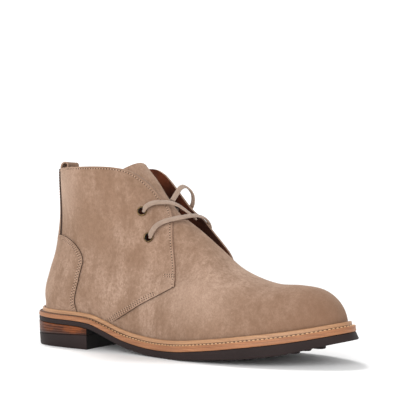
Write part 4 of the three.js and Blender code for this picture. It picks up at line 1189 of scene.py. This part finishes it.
# Sole
def breast_cutter():
    """Everything before the heel's hollow front face."""
    middle = float(half_width(HEEL_LENGTH, LATERAL, 0))
    sag = BREAST_RADIUS - math.sqrt(BREAST_RADIUS**2 - middle**2)
    wide = BALL_WIDTH
    y = np.linspace(-wide, wide, 120)
    x = HEEL_LENGTH - sag + BREAST_RADIUS - np.sqrt(BREAST_RADIUS**2 - y**2)
    shape = [*np.stack([x, y], 1), (FAR, wide), (FAR, -wide)]
    return bar(shape, (-HEEL_LIFT, 3 * HEEL_LIFT), "z", 0)


def top_piece_height(x):
    return TOP_PIECE_BACK + (TOP_PIECE_FRONT - TOP_PIECE_BACK) * (x / HEEL_LENGTH)


def floor_height(x):
    return np.zeros_like(x)


def lifted(height, by):
    return lambda x: height(x) + by


def shade_breast(obj):
    """The heel's hollow front face gets a part's second material, painted near black for the shade on it.
    """
    for polygon in obj.data.polygons:
        if polygon.normal.x > 0.8:
            polygon.material_index = 1


def make_heel():
    soft = 0.0004
    foot = HEEL_TAPER / 2
    rims = [(HEEL_TAPER + soft, floor_height), (HEEL_TAPER, lifted(floor_height, 2 * soft))]
    rims += [(foot, lifted(top_piece_height, -soft)), (foot + soft, top_piece_height)]
    lift = layer("heel_top_piece_cover", rims)
    cut(lift, breast_cutter(), "DIFFERENCE")
    shade_breast(lift)
    finish_piece(lift, [RUBBER, BREAST_SHADE], ["heel_top_piece"])
    layers = 4
    groove = 0.00035
    rims = [(foot + soft, lifted(top_piece_height, GAP))]
    for i in range(layers + 1):
        share = i / layers
        inset = foot + (EDGE_ROUND - foot) * share

        def height(x, share=share):
            low, high = top_piece_height(x) + GAP, underside(x) - GAP
            return low + np.maximum(high - low, 0.001) * share

        if i:
            rims.append((inset, lifted(height, -soft)))
        if 0 < i < layers:
            rims.append((inset + groove, height))
        if i < layers:
            rims.append((inset, lifted(height, soft)))
    rims.append((EDGE_ROUND + soft, lifted(underside, -GAP)))
    stack = layer("heel_stack_cover", rims)
    cut(stack, breast_cutter(), "DIFFERENCE")
    shade_breast(stack)
    finish_piece(stack, [STACK, BREAST_SHADE], ["heel_stack"])


def stud_places():
    places = []
    clear = RECESS_RIM + STUD_DIAMETER / 2 + STUD_CLEAR
    across = math.ceil(BALL_WIDTH / (2 * STUD_PITCH))
    row = 0
    x = RECESS_START + STUD_DIAMETER
    while x < SOLE_LENGTH - clear:
        for n in range(-across, across + 1):
            y = n * STUD_PITCH + (row % 2) * STUD_PITCH / 2
            if abs(y) < half_width(x, LATERAL if y < 0 else MEDIAL, clear):
                places.append((x, y))
        x += STUD_PITCH * math.sqrt(3) / 2
        row += 1
    return places


def make_outsole():
    soft = 0.0005
    rims = [(OUTSOLE_BEVEL, underside), (OUTSOLE_BEVEL / 2, lifted(underside, OUTSOLE_BEVEL / 3))]
    rims += [(EDGE_ROUND, lifted(underside, OUTSOLE_BEVEL)), (EDGE_ROUND, lifted(outsole_top, -soft))]
    rims += [(EDGE_ROUND + soft, outsole_top)]
    sole = layer("outsole_cover", rims)
    for vertex in sole.data.vertices:
        x, z = vertex.co.x + ORIGIN[0], vertex.co.z
        down = 1 - np.clip((z - underside(x)) / (outsole_top(x) - underside(x)), 0, 1)
        vertex.co.x += TOE_JUT * float(down * ease(TOE_JUT_START, SOLE_LENGTH, x))
        vertex.co.z += TOE_LIFT * float(down * ease(TOE_LIFT_START, SOLE_LENGTH, x))
    heights = (-2 * RECESS_DEPTH, RECESS_DEPTH)
    recess = layer("recess", [(RECESS_RIM, lifted(underside, height)) for height in heights])
    cut(recess, block(RECESS_START, FAR, -FAR, FAR, -FAR, FAR), "INTERSECT")
    cut(sole, recess, "DIFFERENCE")
    radius, edge = STUD_DIAMETER / 2, 0.0006
    for x, y in stud_places():
        ground = float(underside(x) + TOE_LIFT * ease(TOE_LIFT_START, SOLE_LENGTH, x))
        low = max(0, ground - STUD_DROP)
        root = ground + RECESS_DEPTH + 0.001
        line = [(0, low), (radius - edge, low), (radius, low + edge), (radius, root), (0, root)]
        cut(sole, lathe("stud", line, np.array([x, y, 0.0]), np.array([0, 0, 1.0]), 0, 28), "UNION")
    finish_piece(sole, [RUBBER], ["outsole"])


def make_midsole():
    soft = 0.0002
    low, high = lifted(outsole_top, soft), lifted(midsole_top, GAP - soft / 2)
    rims = [(2 * soft, low), (soft, lifted(low, soft)), (0, lifted(low, MIDSOLE_THICK / 2))]
    rims += [(EDGE_ROUND, high)]
    finish_piece(layer("midsole_cover", rims), [MIDSOLE], ["midsole"])


def make_welt():
    soft = 0.0003
    foot, top = lifted(midsole_top, GAP), lifted(welt_top, RIB_HEIGHT)
    rib = RIB_START + RIB_SLOPE
    section = [
        (EDGE_ROUND, foot), (EDGE_ROUND, lifted(foot, soft)), (EDGE_ROUND, lifted(welt_top, -soft)),
        (EDGE_ROUND + soft, welt_top), (RIB_START - soft, welt_top), (RIB_START, lifted(welt_top, soft)),
        (RIB_START + RIB_SLOPE / 4, lifted(welt_top, RIB_HEIGHT / 4)),
        (rib, lifted(top, -2 * soft)), (rib + soft, lifted(top, -soft / 2)),
        (rib + 2 * soft, top), (RIB_END - soft / 2, top), (RIB_END, lifted(top, -soft)),
        (RIB_END, welt_top), (WELT_REACH, welt_top), (WELT_REACH, lifted(foot, GAP)),
    ]
    loops = [rim_loop(*one) for one in section]
    size = len(loops[0])
    faces = quads(len(loops) + 1, size, True) % (size * len(loops))
    # The outer edge takes the midsole leather; the shelf by the rib takes the groove's painted shade
    looks = [1] * 3 + [2] * 3 + [0] * (len(loops) - 6)
    welt = mesh_object("welt_cover", np.vstack(loops), faces, np.repeat(looks, size))
    finish_piece(welt, [WELT, MIDSOLE, GROOVE_SHADE], ["welt"])


def make_insole():
    inset = WELT_REACH + 2 * GAP
    soft = 0.0006
    top = lifted(seat, INSOLE_RISE)
    rims = [(inset, lifted(midsole_top, 2 * GAP)), (inset, lifted(top, -soft)), (inset + soft, top)]
    finish_piece(layer("insole_cover", rims), [LINING], ["insole"])


# Stitches
SEAM_PITCH = 0.0024
WELT_PITCH = 0.0034
EDGE_MARGIN = 0.0006
ROW_END = 0.002
STAY_INSET = 0.0016
SEAM_INSETS = (0.0018, 0.004)
TACK_HEIGHTS = (0.0142, 0.016)
TACK_LENGTH = 0.012
TACK_CROWDING = 0.8
SEAM_STITCH = (0.0014, 0.00075, 0.00035)
WELT_STITCH = (0.0029, 0.0009, 0.0005)
STITCH_END = 0.96
STITCH_ARCH = 0.7
# A needle hole's place in stitch lengths, its radius in stitch widths, its heights at rim and middle
HOLE_AT = 0.84
HOLE_RADIUS = 0.74
HOLE_HEIGHTS = (0.00002, 0.00006)


def tree_of(name):
    mesh = bpy.data.objects[name].data
    return BVHTree.FromPolygons([v.co for v in mesh.vertices], [p.vertices for p in mesh.polygons])


def spaced(points, normals, pitch):
    """Places, directions and normals of stitches, evenly along a line."""
    length = run_length(points)
    count = max(2, int(length[-1] / pitch))
    at = (np.arange(count) + 0.5) * length[-1] / count

    def pick(values, t):
        return np.stack([np.interp(t, length, values[:, k]) for k in range(3)], 1)

    run = pick(points, at + pitch / 4) - pick(points, at - pitch / 4)
    return pick(points, at), unit(run), unit(pick(normals, at))


def snapped(tree, points):
    """The nearest places on a piece's surface and its normals there."""
    found = [tree.find_nearest(Vector(p)) for p in points]
    return np.array([f[0] for f in found]), np.array([f[1] for f in found])


def seen_row(tree, line, side):
    """Where a side-view line falls on a piece, looked at from one side of the boot."""
    points, normals, kept = [], [], []
    for i, (x, z) in enumerate(line):
        start = Vector(to_row((x, SIGN[side] * FAR, z))[0])
        place, normal, _, _ = tree.ray_cast(start, Vector((0, -SIGN[side], 0)))
        if place is not None:
            points.append(place)
            normals.append(normal)
            kept.append(i)
    return np.array(points), np.array(normals), kept


def edge_row(name, table, inset, side, start=0.0, end=1.0):
    """A stitch row inside a panel's edge, drawn in by an inset along the panel's own face."""
    tree = tree_of(name)
    line = side_line(table, 20)
    inside = np.gradient(line, axis=0)
    inside = unit(np.stack([inside[:, 1], -inside[:, 0]], 1))
    span = slice(int(start * len(line)), int(end * len(line)))
    line, inside = line[span] + inside[span] * EDGE_MARGIN, inside[span]
    points, normals, kept = seen_row(tree, line, side)
    inwards = unit(np.cross(normals, np.gradient(points, axis=0)))
    inside = inside[kept]
    facing = inwards[:, 0] * inside[:, 0] + inwards[:, 2] * inside[:, 1]
    inwards *= np.sign(facing)[:, None]
    return spaced(*snapped(tree, points + inwards * (inset - EDGE_MARGIN)), SEAM_PITCH)


def band_row(name, z, reach):
    """A level stitch row round the back of the shaft, as far as a share of its depth on each side."""
    angle = np.linspace(-1, 1, 161)
    share = reach * np.sin(np.abs(angle) * np.pi / 2) ** 2
    points = last_points(share, np.full(len(angle), z), np.where(angle < 0, MEDIAL, LATERAL))
    out = unit(points - points.mean(0)) * (1, 1, 0)
    return spaced(*snapped(tree_of(name), to_row(points + out * 2 * QUARTER_STEP)), SEAM_PITCH)


def stay_row(sign):
    z = np.linspace(COUNTER_TOP + ROW_END, COLLAR_HEIGHT - ROW_END, 40)
    wide = STAY_WIDTH_FOOT + (STAY_WIDTH_TOP - STAY_WIDTH_FOOT) * (z - z[0]) / (z[-1] - z[0])
    points = back_points(sign * (wide / 2 - STAY_INSET), z, np.full(len(z), 2 * QUARTER_STEP))
    return spaced(*snapped(tree_of("back_stay_cover"), to_row(points)), SEAM_PITCH)


def tack_row(name, above, side):
    """A short level row that holds the quarter's front edge down, at a height above its corner."""
    edge = side_line(COLLAR_LINES[side], 20)
    z = side_line(FOOT_LINES[side])[0, 1] + above
    front = np.interp(-z, -edge[:, 1], edge[:, 0])
    line = [(x, z) for x in np.linspace(front - TACK_LENGTH, front - EDGE_MARGIN, 12)]
    points, normals, _ = seen_row(tree_of(name), line, side)
    return spaced(points, normals, SEAM_PITCH * TACK_CROWDING)


def welt_row():
    inset = (EDGE_ROUND + RIB_START) / 2
    loop = to_row(rim_loop(inset, welt_top, 400))
    loop = np.vstack([loop, loop[:1]])
    return spaced(loop, np.broadcast_to((0.0, 0.0, 1.0), loop.shape), WELT_PITCH)


def make_stitches(name, rows, material, size):
    """Stitches as one joined mesh: each a rounded lozenge of thread beside a dark disc, painted shade for
    its needle hole.
    """
    length, width, height = size
    places, runs, normals = (np.vstack(part) for part in zip(*rows))
    normals = unit(normals - runs * np.sum(normals * runs, 1)[:, None])
    sideways = np.cross(runs, normals)
    rings, sides = 6, 6
    t = np.linspace(-STITCH_END, STITCH_END, rings)
    angle = np.arange(sides) * 2 * np.pi / sides
    thick = np.sqrt(1 - t**2)[:, None]
    along = np.broadcast_to(t[:, None] * length / 2, (rings, sides)).ravel()
    across = (thick * np.cos(angle) * width / 2).ravel()
    over = (thick * np.sin(angle) * height + (0.5 - t[:, None] ** 2) * height * STITCH_ARCH).ravel()
    hole_at, hole = length * HOLE_AT, width * HOLE_RADIUS
    along = np.concatenate([along, hole_at + np.cos(angle) * hole, [hole_at]])
    across = np.concatenate([across, np.sin(angle) * hole, [0]])
    over = np.concatenate([over, np.full(sides, HOLE_HEIGHTS[0]), [HOLE_HEIGHTS[1]]])
    points = places[:, None] + runs[:, None] * along[:, None] + sideways[:, None] * across[:, None]
    points = points + normals[:, None] * over[:, None]
    one = quads(rings, sides, True).tolist() + end_faces(rings, sides)
    looks = [0] * len(one) + [1] * sides
    first = rings * sides
    one += [[first + i, first + (i + 1) % sides, first + sides] for i in range(sides)]
    count = first + sides + 1
    faces = [[v + k * count for v in face] for k in range(len(places)) for face in one]
    stitches = mesh_object(name, points + ORIGIN, faces, looks * len(places))
    finish_piece(stitches, [material, NEEDLE_HOLE_SHADE], crease=80)


def make_all_stitches():
    counter = "heel_counter_cover"
    rows = [edge_row(name, COLLAR_LINES[side], SEAM_INSETS[0], side) for side, name in QUARTERS]
    for inset in SEAM_INSETS:
        rows += [edge_row(name, FOOT_LINES[side], inset, side, 0.04, 0.9) for side, name in QUARTERS]
        rows += [edge_row(counter, COUNTER_LINE, inset, side, 0.12, 0.88) for side in (LATERAL, MEDIAL)]
        rows.append(band_row(counter, COUNTER_TOP - inset, 0.1))
    rows.append(band_row("quarter_outer", COLLAR_HEIGHT - SEAM_INSETS[0], 0.4))
    rows += [stay_row(-1), stay_row(1)]
    for above in TACK_HEIGHTS:
        rows += [tack_row(name, above, side) for side, name in QUARTERS]
    make_stitches("seam_stitches", rows, THREAD, SEAM_STITCH)
    make_stitches("welt_stitches", [welt_row()], WELT_THREAD, WELT_STITCH)


last = last_grid(LAST_ROWS, LAST_STEPS)
make_upper(last)
make_counter(last)
make_stay(last)
make_tongue()
make_pull_loop()
make_eyelets()
make_heel()
make_outsole()
make_midsole()
make_welt()
make_insole()
make_all_stitches()


# Floor and light
FLOOR_SIZE = 12.0
STUDIO = {"From Min": 0.3, "From Max": 0.8, "To Min": 1.25, "To Max": 0.42}
SUN_FROM = (-0.5, 0.3, 1.0)
SUN_SPREAD = 16
SUN_STRENGTH = 1.7
LAMP_PLACE = (0.35, -1.0, 0.5)
LAMP_AIM = (0, 0, 0.06)
LAMP_SIZE = 1.0
LAMP_POWER = 8


def make_floor():
    reach = FLOOR_SIZE / 2
    mesh = bpy.data.meshes.new("floor")
    corners = [(-reach, -reach, 0), (reach, -reach, 0), (reach, reach, 0), (-reach, reach, 0)]
    mesh.from_pydata(corners, [], [(0, 1, 2, 3)])
    floor = add_object("floor", mesh)
    look = Look("floor", {"Roughness": 0.9, "Specular IOR Level": 0.05})
    look.colour(look.mix(look.noise(0.8, 2), (0.93, 0.93, 0.93, 1), (0.96, 0.96, 0.96, 1)))
    mesh.materials.append(look.material)


def make_light():
    """A broad lamp before the boot."""
    data = bpy.data.lights.new("front", "AREA")
    data.shape = "DISK"
    data.size = LAMP_SIZE
    data.energy = LAMP_POWER
    light = add_object("front", data)
    light.location = LAMP_PLACE
    light.rotation_euler = aimed(Vector(LAMP_AIM) - Vector(LAMP_PLACE)).to_euler()


def make_world():
    """A studio that is white all round and dimmer overhead."""
    world = bpy.data.worlds.new("studio")
    bpy.context.scene.world = world
    world.use_nodes = True
    tree = world.node_tree
    background = tree.nodes["Background"]
    background.inputs["Color"].default_value = (1, 1, 1, 1)
    place = tree.nodes.new("ShaderNodeTexCoord")
    height = tree.nodes.new("ShaderNodeSeparateXYZ")
    fade = tree.nodes.new("ShaderNodeMapRange")
    for key, value in STUDIO.items():
        fade.inputs[key].default_value = value
    tree.links.new(place.outputs["Generated"], height.inputs[0])
    tree.links.new(height.outputs["Z"], fade.inputs["Value"])
    tree.links.new(fade.outputs["Result"], background.inputs["Strength"])


def make_sun():
    data = bpy.data.lights.new("sun", "SUN")
    data.angle = math.radians(SUN_SPREAD)
    data.energy = SUN_STRENGTH
    light = add_object("sun", data)
    light.rotation_euler = aimed(-Vector(SUN_FROM)).to_euler()


make_floor()
make_world()
make_sun()
make_light()
bpy.context.scene.view_settings.view_transform = "Standard"
